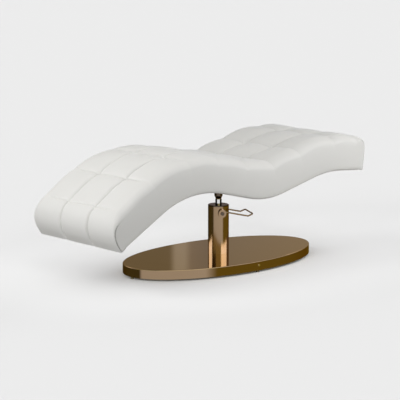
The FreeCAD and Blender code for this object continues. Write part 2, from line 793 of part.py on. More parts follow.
def make_bed_fixing():
    board_z = "Sizes.mount_z + Sizes.mount_thickness"
    drilled_board(
        "mounting_plate", "Sizes.mount_z", "Sizes.mount_length", "Sizes.mount_width", "Sizes.mount_thickness"
    )
    between_ribs = "(2 * Sizes.inner_rib_y)"
    drilled_board("mounting_board", board_z, "Sizes.board_length", between_ribs, "Sizes.board_thickness")
    shank = "Sizes.mount_thickness + Sizes.board_thickness + Sizes.mount_bolt_spare"
    bolt = screw(
        "mount_bolt", "Sizes.mount_bolt_radius", shank, "Sizes.mount_head_radius", "Sizes.mount_head"
    )
    upside_down = Rotation(Vector(1, 0, 0), 180)
    axis = Vector(size("column_x"), 0, size("mount_z"))
    group("mounting_bolts", bolt, [Placement(axis + point, upside_down) for point in mount_points()])
    nut = doc.addObject("Part::Feature", "t_nut_single")
    hollow = Part.makeCylinder(size("mount_bolt_radius"), size("t_nut_height"))
    nut.Shape = Part.makeCylinder(size("t_nut_radius"), size("t_nut_height")).cut(hollow)
    top = Vector(size("column_x"), 0, amount(board_z) + size("board_thickness"))
    group("t_nuts", nut, [Placement(top + point, Rotation()) for point in mount_points()])
    cleat = primitive(
        "Part::Box", "cleat_single", Length="Sizes.board_length",
        Width="Sizes.cleat_size", Height="Sizes.cleat_size",
    )
    y = size("inner_rib_y")
    corner = top - Vector(size("board_length") / 2, 0, 0)
    sides = (Vector(0, -y, 0), Vector(0, y - size("cleat_size"), 0))
    group("mounting_cleats", cleat, [Placement(corner + side, Rotation()) for side in sides])


# The wave: every layer of the bed follows the underside at its own height


def wave_corners():
    shift = size("column_x")
    names = ("foot", "arch", "valley", "crest", "head")
    return [Vector(size(name + "_x") + shift, size(name + "_z"), 0) for name in names]


def up_from(direction):
    return Vector(-direction.y, direction.x, 0)


def meet(point, direction, other_point, other_direction):
    # Where two lines in the profile's plane cross.
    gap = other_point - point
    share = gap.cross(other_direction).z / direction.cross(other_direction).z
    return point + direction * share


def layer_points(level, foot_inset, head_inset):
    corners = wave_corners()
    runs = [(end - start).normalize() for start, end in zip(corners, corners[1:])]
    lifted = [start + up_from(run) * level for start, run in zip(corners, runs)]
    points = [lifted[0] + runs[0] * foot_inset]
    for index in range(1, len(runs)):
        points.append(meet(lifted[index - 1], runs[index - 1], lifted[index], runs[index]))
    points.append(corners[-1] + up_from(runs[-1]) * level - runs[-1] * head_inset)
    return points


def layer_radii(level):
    return [size("arch_radius") + level, size("valley_radius") - level, size("crest_radius") + level]


def layer_path(level, foot_inset, head_inset):
    return rounded_path(layer_points(level, foot_inset, head_inset), layer_radii(level))


def closed_band(low, high, foot_inset, head_inset):
    below = layer_path(low, foot_inset, head_inset)
    above = layer_path(high, foot_inset, head_inset)
    foot_end = Part.LineSegment(above[0].StartPoint, below[0].StartPoint)
    head_end = Part.LineSegment(below[-1].EndPoint, above[-1].EndPoint)
    return below + [head_end] + above + [foot_end]


def end_frame(end):
    # Corner of the underside at one end of the bed, and the direction inwards along it.
    corners = wave_corners()
    if end == "foot":
        return corners[0], (corners[1] - corners[0]).normalize(), 1
    return corners[-1], (corners[-2] - corners[-1]).normalize(), -1


def corner_arc(end, low, high, inset):
    # The rounded upper corner of a band: an optional upright and an arc that ends level with the top.
    corner, inwards, side = end_frame(end)
    up = up_from(inwards) * side
    radius = size(end + "_corner") - size("wrap_gap")
    centre = high - radius

    def at(run, rise):
        return corner + inwards * run + up * rise

    start_rise = max(low, centre)
    turn = math.asin((start_rise - centre) / radius)
    middle = (turn + math.pi / 2) / 2
    points = []
    for angle in (turn, middle, math.pi / 2):
        points.append(at(inset + radius - radius * math.cos(angle), centre + radius * math.sin(angle)))
    arc = Part.Arc(*points)
    if low >= centre:
        return [arc], inset + radius - radius * math.cos(turn), inset + radius
    upright = Part.LineSegment(at(inset, low), points[0])
    return [upright, arc], inset, inset + radius


def cornered_band(low, high, inset):
    # A band whose upper corners are rounded to lie under the wrapped cover.
    foot_corner, foot_low, foot_high = corner_arc("foot", low, high, inset)
    head_corner, head_low, head_high = corner_arc("head", low, high, inset)
    below = layer_path(low, foot_low, head_low)
    above = layer_path(high, foot_high, head_high)
    return below + head_corner + above + foot_corner


def wave_body(label, outline, y_high, thickness):
    body = new_body(label)
    sketch = new_sketch(body, label + "_outline", "XZ_Plane", "0")
    sketch.addGeometry(outline, False)
    pad(body, label + "_board", sketch, thickness)
    body.setExpression("Placement.Base.y", y_high)
    return body


def make_frame():
    inset = size("wrap_inset") + size("wrap_gap")
    board = size("rib_thickness")
    inside = "Sizes.bed_width - 2 * Sizes.side_pad"
    side = "Sizes.bed_width / 2 - Sizes.side_pad"
    rib = closed_band(size("rib_low"), size("rib_high"), inset + board, inset + board)
    inner_high = "Sizes.inner_rib_y + Sizes.rib_thickness"
    rib_sides = {
        "outer_rib_left": side,
        "inner_rib_left": inner_high,
        "inner_rib_right": "-Sizes.inner_rib_y",
        "outer_rib_right": f"Sizes.rib_thickness - ({side})",
    }
    for label, y_high in rib_sides.items():
        wave_body(label, rib, y_high, "Sizes.rib_thickness")
    panel = wave_body("bottom_panel", closed_band(0, size("panel_top"), inset, inset), side, inside)
    opening = new_sketch(panel, "panel_opening_outline", "XY_Plane", "Sizes.mount_z")
    add_circle(opening, "Sizes.post_opening", "Sizes.column_x", f"-({side})")
    pocket(panel, "panel_opening", opening, "Sizes.mount_z - Sizes.ram_top")
    deck_inset = inset + size("deck_inset")
    deck = closed_band(size("rib_high"), size("deck_top"), deck_inset, deck_inset)
    wave_body("top_deck", deck, side, inside)
    make_end_boards(inset, side, inside)
    make_cross_rails()


def end_board(label, points, side, inside):
    ends = points[1:] + points[:1]
    outline = [Part.LineSegment(start, end) for start, end in zip(points, ends)]
    wave_body(label, outline, side, inside)


def make_end_boards(inset, side, inside):
    low = size("rib_low")
    high = size("end_board_high")
    board = size("rib_thickness")
    outer_low = layer_points(low, inset, inset)
    outer_high = layer_points(high, inset, inset)
    inner_low = layer_points(low, inset + board, inset + board)
    inner_high = layer_points(high, inset + board, inset + board)
    for label, end in (("foot_end_board", 0), ("head_end_board", -1)):
        points = [outer_low[end], inner_low[end], inner_high[end], outer_high[end]]
        end_board(label, points, side, inside)


rail_shares = (0.14, 0.3, 0.44, 0.66, 0.8, 0.92)


def make_cross_rails():
    # Battens between the ribs, square to the wave, in three bays.
    gap = size("rail_gap")
    low = size("rib_low") + gap
    height = size("rib_high") - gap - low
    thickness = size("rail_thickness")
    inner = size("inner_rib_y")
    outer = size("bed_width") / 2 - size("side_pad") - size("rib_thickness")
    beside = inner + size("rib_thickness")
    bays = [(-outer, -beside), (-inner, inner), (beside, outer)]
    underside = Part.Wire([run.toShape() for run in layer_path(0, 0, 0)])
    rails = []
    for share in rail_shares:
        _, point, direction = along_wire(underside.Edges, share * underside.Length)
        tilt = math.degrees(math.atan2(direction.y, direction.x))
        for y_low, y_high in bays:
            box = Part.makeBox(thickness, y_high - y_low, height, Vector(-thickness / 2, y_low, low))
            box.Placement = Placement(Vector(point.x, 0, point.y), Rotation(Vector(0, -1, 0), tilt))
            rails.append(box)
    piece = doc.addObject("Part::Feature", "cross_rails")
    piece.Shape = Part.makeCompound(rails)
    keep(piece, "cross_rails")


def along_wire(edges, distance):
    for edge in edges:
        if distance <= edge.Length or edge is edges[-1]:
            parameter = edge.getParameterByLength(min(distance, edge.Length))
            return edge, edge.valueAt(parameter), edge.tangentAt(parameter)
        distance -= edge.Length


# Upholstery: foam layer, side pads and the quilted cover wrapped over both ends


def make_foam_and_sides():
    inset = size("wrap_inset") + size("wrap_gap")
    side = "Sizes.bed_width / 2 - Sizes.side_pad"
    foam = cornered_band(size("deck_top"), size("foam_top"), inset)
    wave_body("foam_layer", foam, side, "Sizes.bed_width - 2 * Sizes.side_pad")
    pad_outline = cornered_band(0, size("foam_top"), inset)
    wave_body("side_pad_left", pad_outline, "Sizes.bed_width / 2", "Sizes.side_pad")
    wave_body("side_pad_right", pad_outline, f"-({side})", "Sizes.side_pad")


def wrap_edges():
    inset = size("wrap_inset")
    level = size("wrap_level")
    foot = layer_points(0, inset, inset)[0]
    head = layer_points(0, inset, inset)[-1]
    points = [foot] + layer_points(level, inset, inset) + [head]
    radii = [size("foot_corner")] + layer_radii(level) + [size("head_corner")]
    return [run.toShape() for run in rounded_path(points, radii)]


def blend(low, high, share):
    return low + (high - low) * share


def quilt_section(point, direction, rise, seam_low):
    # One slice across the cover: rolled edges, and three crowned strips between two sewn seams.
    outward = up_from(direction)
    half = size("bed_width") / 2 - size("side_draw") * (1 - rise)
    seam_y = size("bed_width") / 6
    roll_y = half - size("edge_roll")
    edge = blend(size("edge_row"), size("edge_middle"), rise)
    crown = blend(size("crown_row"), size("crown_middle"), rise)
    seam = blend(seam_low, size("seam_middle"), rise)

    def at(y, height):
        flat = point + outward * height
        return Vector(flat.x, y, flat.y)

    roll_share = math.sqrt(0.5)
    roll_x = roll_y + size("edge_roll") * roll_share
    strip_y = (roll_y + seam_y) / 2
    strip = [
        Part.Arc(at(half, 0), at(roll_x, edge * roll_share), at(roll_y, edge)),
        Part.Arc(at(roll_y, edge), at(strip_y, crown), at(seam_y, seam)),
        Part.Arc(at(seam_y, seam), at(0, crown), at(-seam_y, seam)),
        Part.Arc(at(-seam_y, seam), at(-strip_y, crown), at(-roll_y, edge)),
        Part.Arc(at(-roll_y, edge), at(-roll_x, edge * roll_share), at(-half, 0)),
        Part.LineSegment(at(-half, 0), at(half, 0)),
    ]
    return Part.Wire([run.toShape() for run in strip])


def corner_steps(edges):
    # Extra slices round the two end corners, where the wrap turns sharply.
    starts = [sum(edge.Length for edge in edges[:index]) for index in range(len(edges))]
    steps = []
    corners = {1: int(size("foot_corner_slices")), len(edges) - 2: int(size("head_corner_slices"))}
    for corner, count in corners.items():
        step = edges[corner].Length / count
        steps += [starts[corner] + step * number for number in range(count + 1)]
    return steps


row_count = 9
slice_shares = (0.18, 0.5, 0.82)


def make_quilted_cover():
    edges = wrap_edges()
    length = sum(edge.Length for edge in edges)
    rows = [0] + [size(f"row_{number}") for number in range(1, row_count + 1)] + [length]
    hems = (0, len(rows) - 1)
    slices = [(row, number, 0) for number, row in enumerate(rows)]
    tiles = list(enumerate(zip(rows, rows[1:])))
    spots = [blend(start, end, share) for _, (start, end) in tiles for share in slice_shares]
    for spot in spots + corner_steps(edges):
        tile, (start, end) = next(entry for entry in tiles if entry[1][0] <= spot <= entry[1][1])
        share = (spot - start) / (end - start)
        rise = math.sin(math.pi * share) ** size("pillow_power")
        slices.append((spot, tile if share < 0.5 else tile + 1, rise))
    slices.sort()
    sections = []
    last = None
    for spot, nearest, rise in slices:
        crowded = last is not None and spot - last < size("least_slice")
        if crowded and rise > 0:
            continue
        if crowded:
            sections.pop()
        last = spot
        seam_low = size("seam_hem") if nearest in hems else size("seam_tuft")
        _, point, direction = along_wire(edges, spot)
        sections.append(quilt_section(point, direction, rise, seam_low))
    cover = doc.addObject("Part::Feature", "quilted_cover")
    cover.Shape = Part.makeLoft(sections, True, True)
    keep(cover, "quilted_cover")
    print("quilted cover:", len(sections), "slices, length", round(length, 1))


make_base_cover()
make_base_plate()
make_glides()
make_cover_fixings()
make_pump_body()
make_pump_head()
make_column_cover()
make_ram()
make_foot_lever()
make_lever_linkage()
make_cam()
make_plunger_spring(make_plunger())
make_swivel_post()
make_bed_fixing()
make_frame()
make_foam_and_sides()
make_quilted_cover()
doc.recompute()

smallest_cut = 1
for item in doc.Objects:
    if {"Invalid", "Error"} & set(item.State):
        raise RuntimeError(f"{item.Label} did not build: {item.State}")
    if item.TypeId == "PartDesign::Pocket":
        if item.Shape.Volume >= item.BaseFeature.Shape.Volume - smallest_cut:
            raise RuntimeError(f"{item.Label} cuts nothing")
for piece in parts:
    if piece.Shape.isNull() or not piece.Shape.isValid():
        raise RuntimeError(f"{piece.Label} has no valid solid")

os.makedirs("parts", exist_ok=True)
for piece in parts:
    piece.Shape.exportStep(f"parts/{piece.Label}.step")
whole = Part.makeCompound([piece.Shape for piece in parts])
print(len(parts), "pieces,", whole.BoundBox)
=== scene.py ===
import math

import bmesh
import bpy
import numpy as np
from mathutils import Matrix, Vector


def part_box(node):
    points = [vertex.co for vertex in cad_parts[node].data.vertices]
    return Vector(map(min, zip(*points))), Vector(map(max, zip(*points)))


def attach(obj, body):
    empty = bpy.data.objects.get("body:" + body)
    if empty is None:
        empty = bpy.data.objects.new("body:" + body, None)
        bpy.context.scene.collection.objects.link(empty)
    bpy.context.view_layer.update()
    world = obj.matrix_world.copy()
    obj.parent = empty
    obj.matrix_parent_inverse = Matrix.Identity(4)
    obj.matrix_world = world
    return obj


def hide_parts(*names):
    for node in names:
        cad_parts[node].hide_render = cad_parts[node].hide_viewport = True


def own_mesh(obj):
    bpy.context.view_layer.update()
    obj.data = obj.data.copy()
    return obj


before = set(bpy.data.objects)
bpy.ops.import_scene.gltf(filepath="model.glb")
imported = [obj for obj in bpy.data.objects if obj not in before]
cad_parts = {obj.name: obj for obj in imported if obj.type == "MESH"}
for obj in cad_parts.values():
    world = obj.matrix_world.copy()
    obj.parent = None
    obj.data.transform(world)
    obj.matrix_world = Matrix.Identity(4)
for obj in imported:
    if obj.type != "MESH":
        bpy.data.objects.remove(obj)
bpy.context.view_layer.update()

scene = bpy.context.scene
scene.view_settings.view_transform = "Standard"
print("frame loaded:", len(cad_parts), "CAD nodes")


# camera at the photograph's viewpoint

cameraView = {
    "place": (-5.98545, -6.77992, 1.93683),
    "pitch": 80.08,
    "turn": -41.3,
    "lens": 155.5,
    "clipEnd": 300,
}


def makeCamera(view):
    data = bpy.data.cameras.new("photoCamera")
    data.lens = view["lens"]
    data.clip_end = view["clipEnd"]
    camera = bpy.data.objects.new("photoCamera", data)
    camera.location = view["place"]
    camera.rotation_euler = (math.radians(view["pitch"]), 0, math.radians(view["turn"]))
    scene.collection.objects.link(camera)
    scene.camera = camera


makeCamera(cameraView)
print("camera placed")


# small helpers for meshes

mergeDistance = 1e-6


def mix(low, high, share):
    return low + (high - low) * share


def smoothStep(low, high, value):
    share = min(max((value - low) / (high - low), 0), 1)
    return share * share * (3 - 2 * share)


def unit(vector):
    return vector / np.linalg.norm(vector)


def gridFaces(rows, columns):
    faces = []
    for row in range(rows - 1):
        for column in range(columns - 1):
            corner = row * columns + column
            faces.append((corner, corner + 1, corner + columns + 1, corner + columns))
    return faces


def tubeFaces(rings, sides):
    faces = [tuple(range(sides)), tuple(range((rings - 1) * sides, rings * sides))]
    for ring in range(rings - 1):
        for number in range(sides):
            near, far = ring * sides + number, ring * sides + (number + 1) % sides
            faces.append((near, far, far + sides, near + sides))
    return faces


def makePiece(name, points, faces, material, smooth=True):
    mesh = bpy.data.meshes.new(name)
    mesh.from_pydata([tuple(point) for point in points], [], faces)
    build = bmesh.new()
    build.from_mesh(mesh)
    bmesh.ops.remove_doubles(build, verts=build.verts, dist=mergeDistance)
    bmesh.ops.recalc_face_normals(build, faces=build.faces)
    build.to_mesh(mesh)
    build.free()
    for polygon in mesh.polygons:
        polygon.use_smooth = smooth
    piece = bpy.data.objects.new(name, mesh)
    scene.collection.objects.link(piece)
    mesh.materials.append(material)
    return piece


def applyModifiers(piece):
    depsgraph = bpy.context.evaluated_depsgraph_get()
    mesh = bpy.data.meshes.new_from_object(piece.evaluated_get(depsgraph))
    piece.modifiers.clear()
    old = piece.data
    piece.data = mesh
    bpy.data.meshes.remove(old)
    mesh.name = piece.name


# shader effects shared by several materials: scale, detail and roughness of each noise

leatherPattern = {
    "scale": 650.0,
    "smoothness": 0.6,
    "poreScale": 2.3,  # times the pebbles' scale
    "poreDetail": 2.0,
    "creases": (60.0, 4.0, 0.6),
    "tone": (2.2, 3.0),
    "shares": (0.75, 0.2, 0.35),  # of pebbles, pores and creases in the height
}
markPattern = {"scale": 9.0, "detail": 5.0, "roughness": 0.6}
linePattern = {"stretch": (4.0, 900.0, 900.0), "noise": (1.0, 3.0, 0.6)}
woodPattern = {
    "along": (3.0, 60.0, 60.0), "rings": 1.0, "distortion": 3.0, "detail": 3.0, "pores": (9.0, 2.0),
}


def newGroup(name, inputs, outputs):
    # a node group, its two ends, and the place on the piece that its pattern follows
    group = bpy.data.node_groups.new(name, "ShaderNodeTree")
    for label, value in inputs.items():
        kind = "NodeSocketVector" if isinstance(value, tuple) else "NodeSocketFloat"
        socket = group.interface.new_socket(label, in_out="INPUT", socket_type=kind)
        socket.default_value = value
    for label in outputs:
        group.interface.new_socket(label, in_out="OUTPUT", socket_type="NodeSocketFloat")
    start = group.nodes.new("NodeGroupInput")
    end = group.nodes.new("NodeGroupOutput")
    where = group.nodes.new("ShaderNodeTexCoord").outputs["Object"]
    return group, start, end, where


def addNode(tree, kind, links=None, **settings):
    node = tree.nodes.new(kind)
    for key, value in settings.items():
        setattr(node, key, value)
    for socket, source in (links or {}).items():
        if hasattr(source, "is_output"):
            tree.links.new(source, node.inputs[socket])
        else:
            node.inputs[socket].default_value = source
    return node


def addMath(tree, operation, first, second):
    return addNode(tree, "ShaderNodeMath", {0: first, 1: second}, operation=operation).outputs[0]


def addVector(tree, operation, first, second):
    return addNode(tree, "ShaderNodeVectorMath", {0: first, 1: second}, operation=operation).outputs[0]


def addMix(tree, share, first, second):
    return addNode(tree, "ShaderNodeMix", {0: share, 6: first, 7: second}, data_type="RGBA").outputs[2]


def addNoise(tree, vector, scale, detail=3.0, roughness=0.5):
    links = {"Vector": vector, "Scale": scale, "Detail": detail, "Roughness": roughness}
    return addNode(tree, "ShaderNodeTexNoise", links).outputs["Fac"]


def riseMix(tree, height, low, high, below, above):
    # one colour below a height, another above it, and a soft change between
    links = {"Value": height, "From Min": low, "From Max": high}
    rise = addNode(tree, "ShaderNodeMapRange", links, interpolation_type="SMOOTHSTEP").outputs["Result"]
    return addMix(tree, rise, below, above)


def makeLeatherGrain(pattern):
    # pebbled grain with fine pores, and a slow tone drift over the hide
    outputs = ("Height", "Tone", "Pores")
    group, start, end, where = newGroup("leatherGrain", {"Scale": pattern["scale"]}, outputs)
    links = {"Vector": where, "Scale": start.outputs["Scale"], "Smoothness": pattern["smoothness"]}
    pebbles = addNode(group, "ShaderNodeTexVoronoi", links, feature="SMOOTH_F1").outputs["Distance"]
    poreScale = addMath(group, "MULTIPLY", start.outputs["Scale"], pattern["poreScale"])
    pores = addNoise(group, where, poreScale, pattern["poreDetail"])
    creases = addNoise(group, where, *pattern["creases"])
    height = 0.0
    for part, share in zip((pebbles, pores, creases), pattern["shares"]):
        height = addMath(group, "ADD", height, addMath(group, "MULTIPLY", part, share))
    group.links.new(height, end.inputs["Height"])
    group.links.new(addNoise(group, where, *pattern["tone"]), end.inputs["Tone"])
    group.links.new(pores, end.inputs["Pores"])
    return group


def makeSurfaceMarks(pattern):
    # wiped smudges on polished or painted metal
    group, start, end, where = newGroup("surfaceMarks", {"Scale": pattern["scale"]}, ("Smudge",))
    smudge = addNoise(group, where, start.outputs["Scale"], pattern["detail"], pattern["roughness"])
    group.links.new(smudge, end.inputs["Smudge"])
    return group


def makeBrushLines(pattern):
    # fine polishing lines, drawn out along the smallest of the three stretch values
    group, start, end, where = newGroup("brushLines", {"Stretch": pattern["stretch"]}, ("Lines",))
    drawn = addVector(group, "MULTIPLY", where, start.outputs["Stretch"])
    group.links.new(addNoise(group, drawn, *pattern["noise"]), end.inputs["Lines"])
    return group


def makeWoodGrain(pattern):
    # growth rings cut lengthwise, with short pores along the grain
    group, start, end, where = newGroup("woodGrain", {"Along": pattern["along"]}, ("Tone", "Pores"))
    drawn = addVector(group, "MULTIPLY", where, start.outputs["Along"])
    links = {
        "Vector": drawn, "Scale": pattern["rings"],
        "Distortion": pattern["distortion"], "Detail": pattern["detail"],
    }
    rings = addNode(group, "ShaderNodeTexWave", links).outputs["Fac"]
    group.links.new(rings, end.inputs["Tone"])
    group.links.new(addNoise(group, drawn, *pattern["pores"]), end.inputs["Pores"])
    return group


leatherGrain = makeLeatherGrain(leatherPattern)
surfaceMarks = makeSurfaceMarks(markPattern)
brushLines = makeBrushLines(linePattern)
woodGrain = makeWoodGrain(woodPattern)
print("shader groups built")


# materials


def newMaterial(name):
    material = bpy.data.materials.new(name)
    material.use_nodes = True
    return material, material.node_tree, material.node_tree.nodes["Principled BSDF"]


def shade(tree, mask, dark, light):
    # a colour between two tones by a mask
    ramp = tree.nodes.new("ShaderNodeValToRGB")
    ramp.color_ramp.elements[0].color = (*dark, 1)
    ramp.color_ramp.elements[1].color = (*light, 1)
    tree.links.new(mask, ramp.inputs["Fac"])
    return ramp.outputs["Color"]


def spread(tree, mask, low, high):
    # a value between two by a mask
    node = addNode(tree, "ShaderNodeMapRange", {"Value": mask, "To Min": low, "To Max": high})
    return node.outputs["Result"]


def bump(tree, bsdf, height, strength, distance):
    links = {"Height": height, "Strength": strength, "Distance": distance}
    node = addNode(tree, "ShaderNodeBump", links)
    tree.links.new(node.outputs["Normal"], bsdf.inputs["Normal"])


def finish(tree, bsdf, look, tone, pores, height):
    tree.links.new(shade(tree, tone, look["dark"], look["light"]), bsdf.inputs["Base Color"])
    tree.links.new(spread(tree, pores, look["smooth"], look["dull"]), bsdf.inputs["Roughness"])
    bump(tree, bsdf, height, look["bump"], look["bumpDepth"])


def leatherMaterial(name, look):
    material, tree, bsdf = newMaterial(name)
    grain = addNode(tree, "ShaderNodeGroup", {"Scale": look["grainScale"]}, node_tree=leatherGrain).outputs
    finish(tree, bsdf, look, grain["Tone"], grain["Pores"], grain["Height"])
    bsdf.inputs["Specular IOR Level"].default_value = look["specular"]
    return material


def metalMaterial(name, look):
    material, tree, bsdf = newMaterial(name)
    marks = addNode(tree, "ShaderNodeGroup", node_tree=surfaceMarks)
    lines = addNode(tree, "ShaderNodeGroup", {"Stretch": look["stretch"]}, node_tree=brushLines)
    colour = shade(tree, marks.outputs["Smudge"], look["dark"], look["light"])
    if "rim" in look:
        # painted reflection: the colour darkens toward grazing angles, in place of a mirrored dark room
        facing = addNode(tree, "ShaderNodeLayerWeight").outputs["Facing"]
        colour = riseMix(tree, facing, *look["rim"], colour, (*look["rimColour"], 1))
    tree.links.new(colour, bsdf.inputs["Base Color"])
    worn = addMath(tree, "MULTIPLY", marks.outputs["Smudge"], look["smudge"])
    drawn = addMath(tree, "MULTIPLY", lines.outputs["Lines"], look["lineRoughness"])
    roughness = addMath(tree, "ADD", addMath(tree, "ADD", worn, drawn), look["roughness"])
    tree.links.new(roughness, bsdf.inputs["Roughness"])
    bsdf.inputs["Metallic"].default_value = 1.0
    bsdf.inputs["Specular Tint"].default_value = (*look["grazing"], 1)
    bump(tree, bsdf, lines.outputs["Lines"], look["bump"], look["bumpDepth"])
    return material


def woodMaterial(name, look):
    material, tree, bsdf = newMaterial(name)
    grain = addNode(tree, "ShaderNodeGroup", {"Along": look["along"]}, node_tree=woodGrain).outputs
    finish(tree, bsdf, look, grain["Tone"], grain["Pores"], grain["Pores"])
    return material


leatherLooks = {
    "upholstery": {
        "dark": (0.79, 0.785, 0.76), "light": (0.83, 0.825, 0.80), "grainScale": 650.0,
        "smooth": 0.42, "dull": 0.55, "specular": 0.35, "bump": 0.25, "bumpDepth": 0.0006,
    },
    "underside": {
        "dark": (0.70, 0.695, 0.67), "light": (0.76, 0.755, 0.73), "grainScale": 500.0,
        "smooth": 0.5, "dull": 0.65, "specular": 0.3, "bump": 0.3, "bumpDepth": 0.0008,
    },
    # painted shade: near-black cord colour that darkens the foot end's seam grooves
    "seamShadeCord": {
        "dark": (0.14, 0.138, 0.13), "light": (0.20, 0.197, 0.19), "grainScale": 2500.0,
        "smooth": 0.55, "dull": 0.75, "specular": 0.25, "bump": 0.5, "bumpDepth": 0.0002,
    },
    "foam": {
        "dark": (0.80, 0.74, 0.55), "light": (0.88, 0.83, 0.66), "grainScale": 900.0,
        "smooth": 0.85, "dull": 0.98, "specular": 0.1, "bump": 0.6, "bumpDepth": 0.001,
    },
    "seal_rubber": {
        "dark": (0.018, 0.018, 0.018), "light": (0.03, 0.03, 0.03), "grainScale": 1200.0,
        "smooth": 0.5, "dull": 0.7, "specular": 0.4, "bump": 0.2, "bumpDepth": 0.0002,
    },
}

polished = {
    "stretch": (4.0, 900.0, 900.0), "smudge": 0.05, "lineRoughness": 0.03,
    "roughness": 0.05, "bump": 0.04, "bumpDepth": 0.0001,
}
bronzeTone = {"dark": (0.345, 0.238, 0.146), "light": (0.375, 0.262, 0.164), "grazing": (0.6, 0.47, 0.33)}
metalLooks = {
    "bronze": {**polished, **bronzeTone},
    "baseBronze": {
        **polished, **bronzeTone, "roughness": 0.02, "smudge": 0.02, "lineRoughness": 0.02,
        "bump": 0.02, "bumpDepth": 0.00002,
    },
    "sleeveBronze": {**polished, **bronzeTone, "roughness": 0.12, "stretch": (900.0, 900.0, 4.0)},
    "dark_bronze": {
        **polished, "dark": (0.11, 0.085, 0.065), "light": (0.15, 0.115, 0.085),
        "grazing": (0.5, 0.4, 0.32), "roughness": 0.12,
    },
    "chrome": {
        **polished, "dark": (0.80, 0.80, 0.81), "light": (0.86, 0.86, 0.87),
        "grazing": (0.3, 0.3, 0.3), "roughness": 0.02, "stretch": (900.0, 900.0, 4.0),
        "rim": (0.08, 0.15), "rimColour": (0.02, 0.018, 0.015),  # painted reflection: a rod's colour turns near black at its sides, in place of the dark room it would mirror there
    },
    "bright_steel": {
        **polished, "dark": (0.66, 0.62, 0.55), "light": (0.74, 0.70, 0.62),
        "grazing": (0.9, 0.88, 0.84), "roughness": 0.1,
    },
    "steel": {
        **polished, "dark": (0.26, 0.26, 0.27), "light": (0.36, 0.36, 0.37),
        "grazing": (0.8, 0.8, 0.8), "roughness": 0.3, "smudge": 0.25, "bump": 0.15,
    },
    "cast_head": {
        **polished, "dark": (0.17, 0.17, 0.18), "light": (0.25, 0.25, 0.26),
        "grazing": (0.7, 0.7, 0.7), "roughness": 0.5, "smudge": 0.3, "bump": 0.4, "bumpDepth": 0.0006,
        "stretch": (500.0, 500.0, 500.0),
    },
    "bearing_bronze": {
        **polished, "dark": (0.50, 0.35, 0.15), "light": (0.64, 0.46, 0.21),
        "grazing": (0.9, 0.8, 0.6), "roughness": 0.28, "smudge": 0.2,
    },
}
sawn = {"smooth": 0.5, "dull": 0.7, "bumpDepth": 0.0005}
woodLooks = {
    "plywood": {
        **sawn, "dark": (0.60, 0.44, 0.26), "light": (0.75, 0.60, 0.40),
        "along": (3.0, 700.0, 45.0), "bump": 0.15,
    },
    "timber": {
        **sawn, "dark": (0.64, 0.46, 0.26), "light": (0.80, 0.65, 0.44),
        "along": (70.0, 3.0, 70.0), "bump": 0.2,
    },
}

materials = {}
makers = ((leatherMaterial, leatherLooks), (metalMaterial, metalLooks), (woodMaterial, woodLooks))
for maker, looks in makers:
    for name, look in looks.items():
        materials[name] = maker(name, look)


# pieces whose finish differs from the rest of their slot
ownFinish = {"base_cover": "baseBronze", "column_sleeve": "sleeveBronze", "front_hub_screw": "dark_bronze"}


def dressNodes():
    for name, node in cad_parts.items():
        slot = node.data.materials[0].name.split(".")[0]
        node.data.materials[0] = materials[ownFinish.get(name, slot)]


dressNodes()
print("materials made:", len(materials))


# the wave that every layer of the bed follows, in the plane of its length (x, z)

wave = {
    "columnX": 0.1025,
    "corners": ((-0.936, 0.229), (-0.474, 0.5), (0.049, 0.373), (0.5, 0.488), (0.765, 0.468)),
    "radii": (0.54, 0.51, 0.61),
    "level": 0.15,  # wrap line above the underside
    "inset": 0.025,  # wrap line in from both ends
    "footCorner": 0.1,
    "headCorner": 0.03,
}


def upFrom(direction):
    return np.array((-direction[1], direction[0]))


def meetLines(point, direction, otherPoint, otherDirection):
    gap = otherPoint - point
    cross = direction[0] * otherDirection[1] - direction[1] * otherDirection[0]
    share = (gap[0] * otherDirection[1] - gap[1] * otherDirection[0]) / cross
    return point + direction * share


def levelPoints(level, inset):
    corners = [np.array(corner) + (wave["columnX"], 0) for corner in wave["corners"]]
    runs = [unit(end - start) for start, end in zip(corners, corners[1:])]
    lifted = [start + upFrom(run) * level for start, run in zip(corners, runs)]
    points = [lifted[0] + runs[0] * inset]
    for index in range(1, len(runs)):
        points.append(meetLines(lifted[index - 1], runs[index - 1], lifted[index], runs[index]))
    points.append(corners[-1] + upFrom(runs[-1]) * level - runs[-1] * inset)
    return points


def roundedRuns(points, radii):
    # straight runs and tangent arcs, each as (length, function of the distance along it)
    runs = []
    start = points[0]
    for before, corner, after, radius in zip(points, points[1:], points[2:], radii):
        back = unit(before - corner)
        ahead = unit(after - corner)
        half = math.acos(np.clip(back @ ahead, -1, 1)) / 2
        reach = radius / math.tan(half)
        runs.append(straightRun(start, corner + back * reach))
        runs.append(arcRun(corner, back, ahead, half, radius))
        start = corner + ahead * reach
    runs.append(straightRun(start, points[-1]))
    return runs


def straightRun(start, end):
    direction = unit(end - start)
    return np.linalg.norm(end - start), lambda distance: (start + direction * distance, direction)


def arcRun(corner, back, ahead, half, radius):
    centre = corner + unit(back + ahead) * radius / math.sin(half)
    spoke = corner + back * radius / math.tan(half) - centre
    side = 1 if back[0] * ahead[1] - back[1] * ahead[0] < 0 else -1
    first = math.atan2(spoke[1], spoke[0])

    def along(distance):
        angle = first + side * distance / radius
        arm = np.array((math.cos(angle), math.sin(angle)))
        return centre + arm * radius, upFrom(arm) * side

    return radius * (math.pi - 2 * half), along


def wrapRuns():
    ends = levelPoints(0, wave["inset"])
    points = [ends[0]] + levelPoints(wave["level"], wave["inset"]) + [ends[-1]]
    arch, valley, crest = wave["radii"]
    level = wave["level"]
    radii = (wave["footCorner"], arch + level, valley - level, crest + level, wave["headCorner"])
    return roundedRuns(points, radii)


wrapLine = wrapRuns()
wrapLength = sum(length for length, _ in wrapLine)
footTurnEnd = wrapLine[0][0] + wrapLine[1][0]
headTurnStart = wrapLength - wrapLine[-1][0] - wrapLine[-2][0]
headTurnMiddle = wrapLength - wrapLine[-1][0] - wrapLine[-2][0] / 2


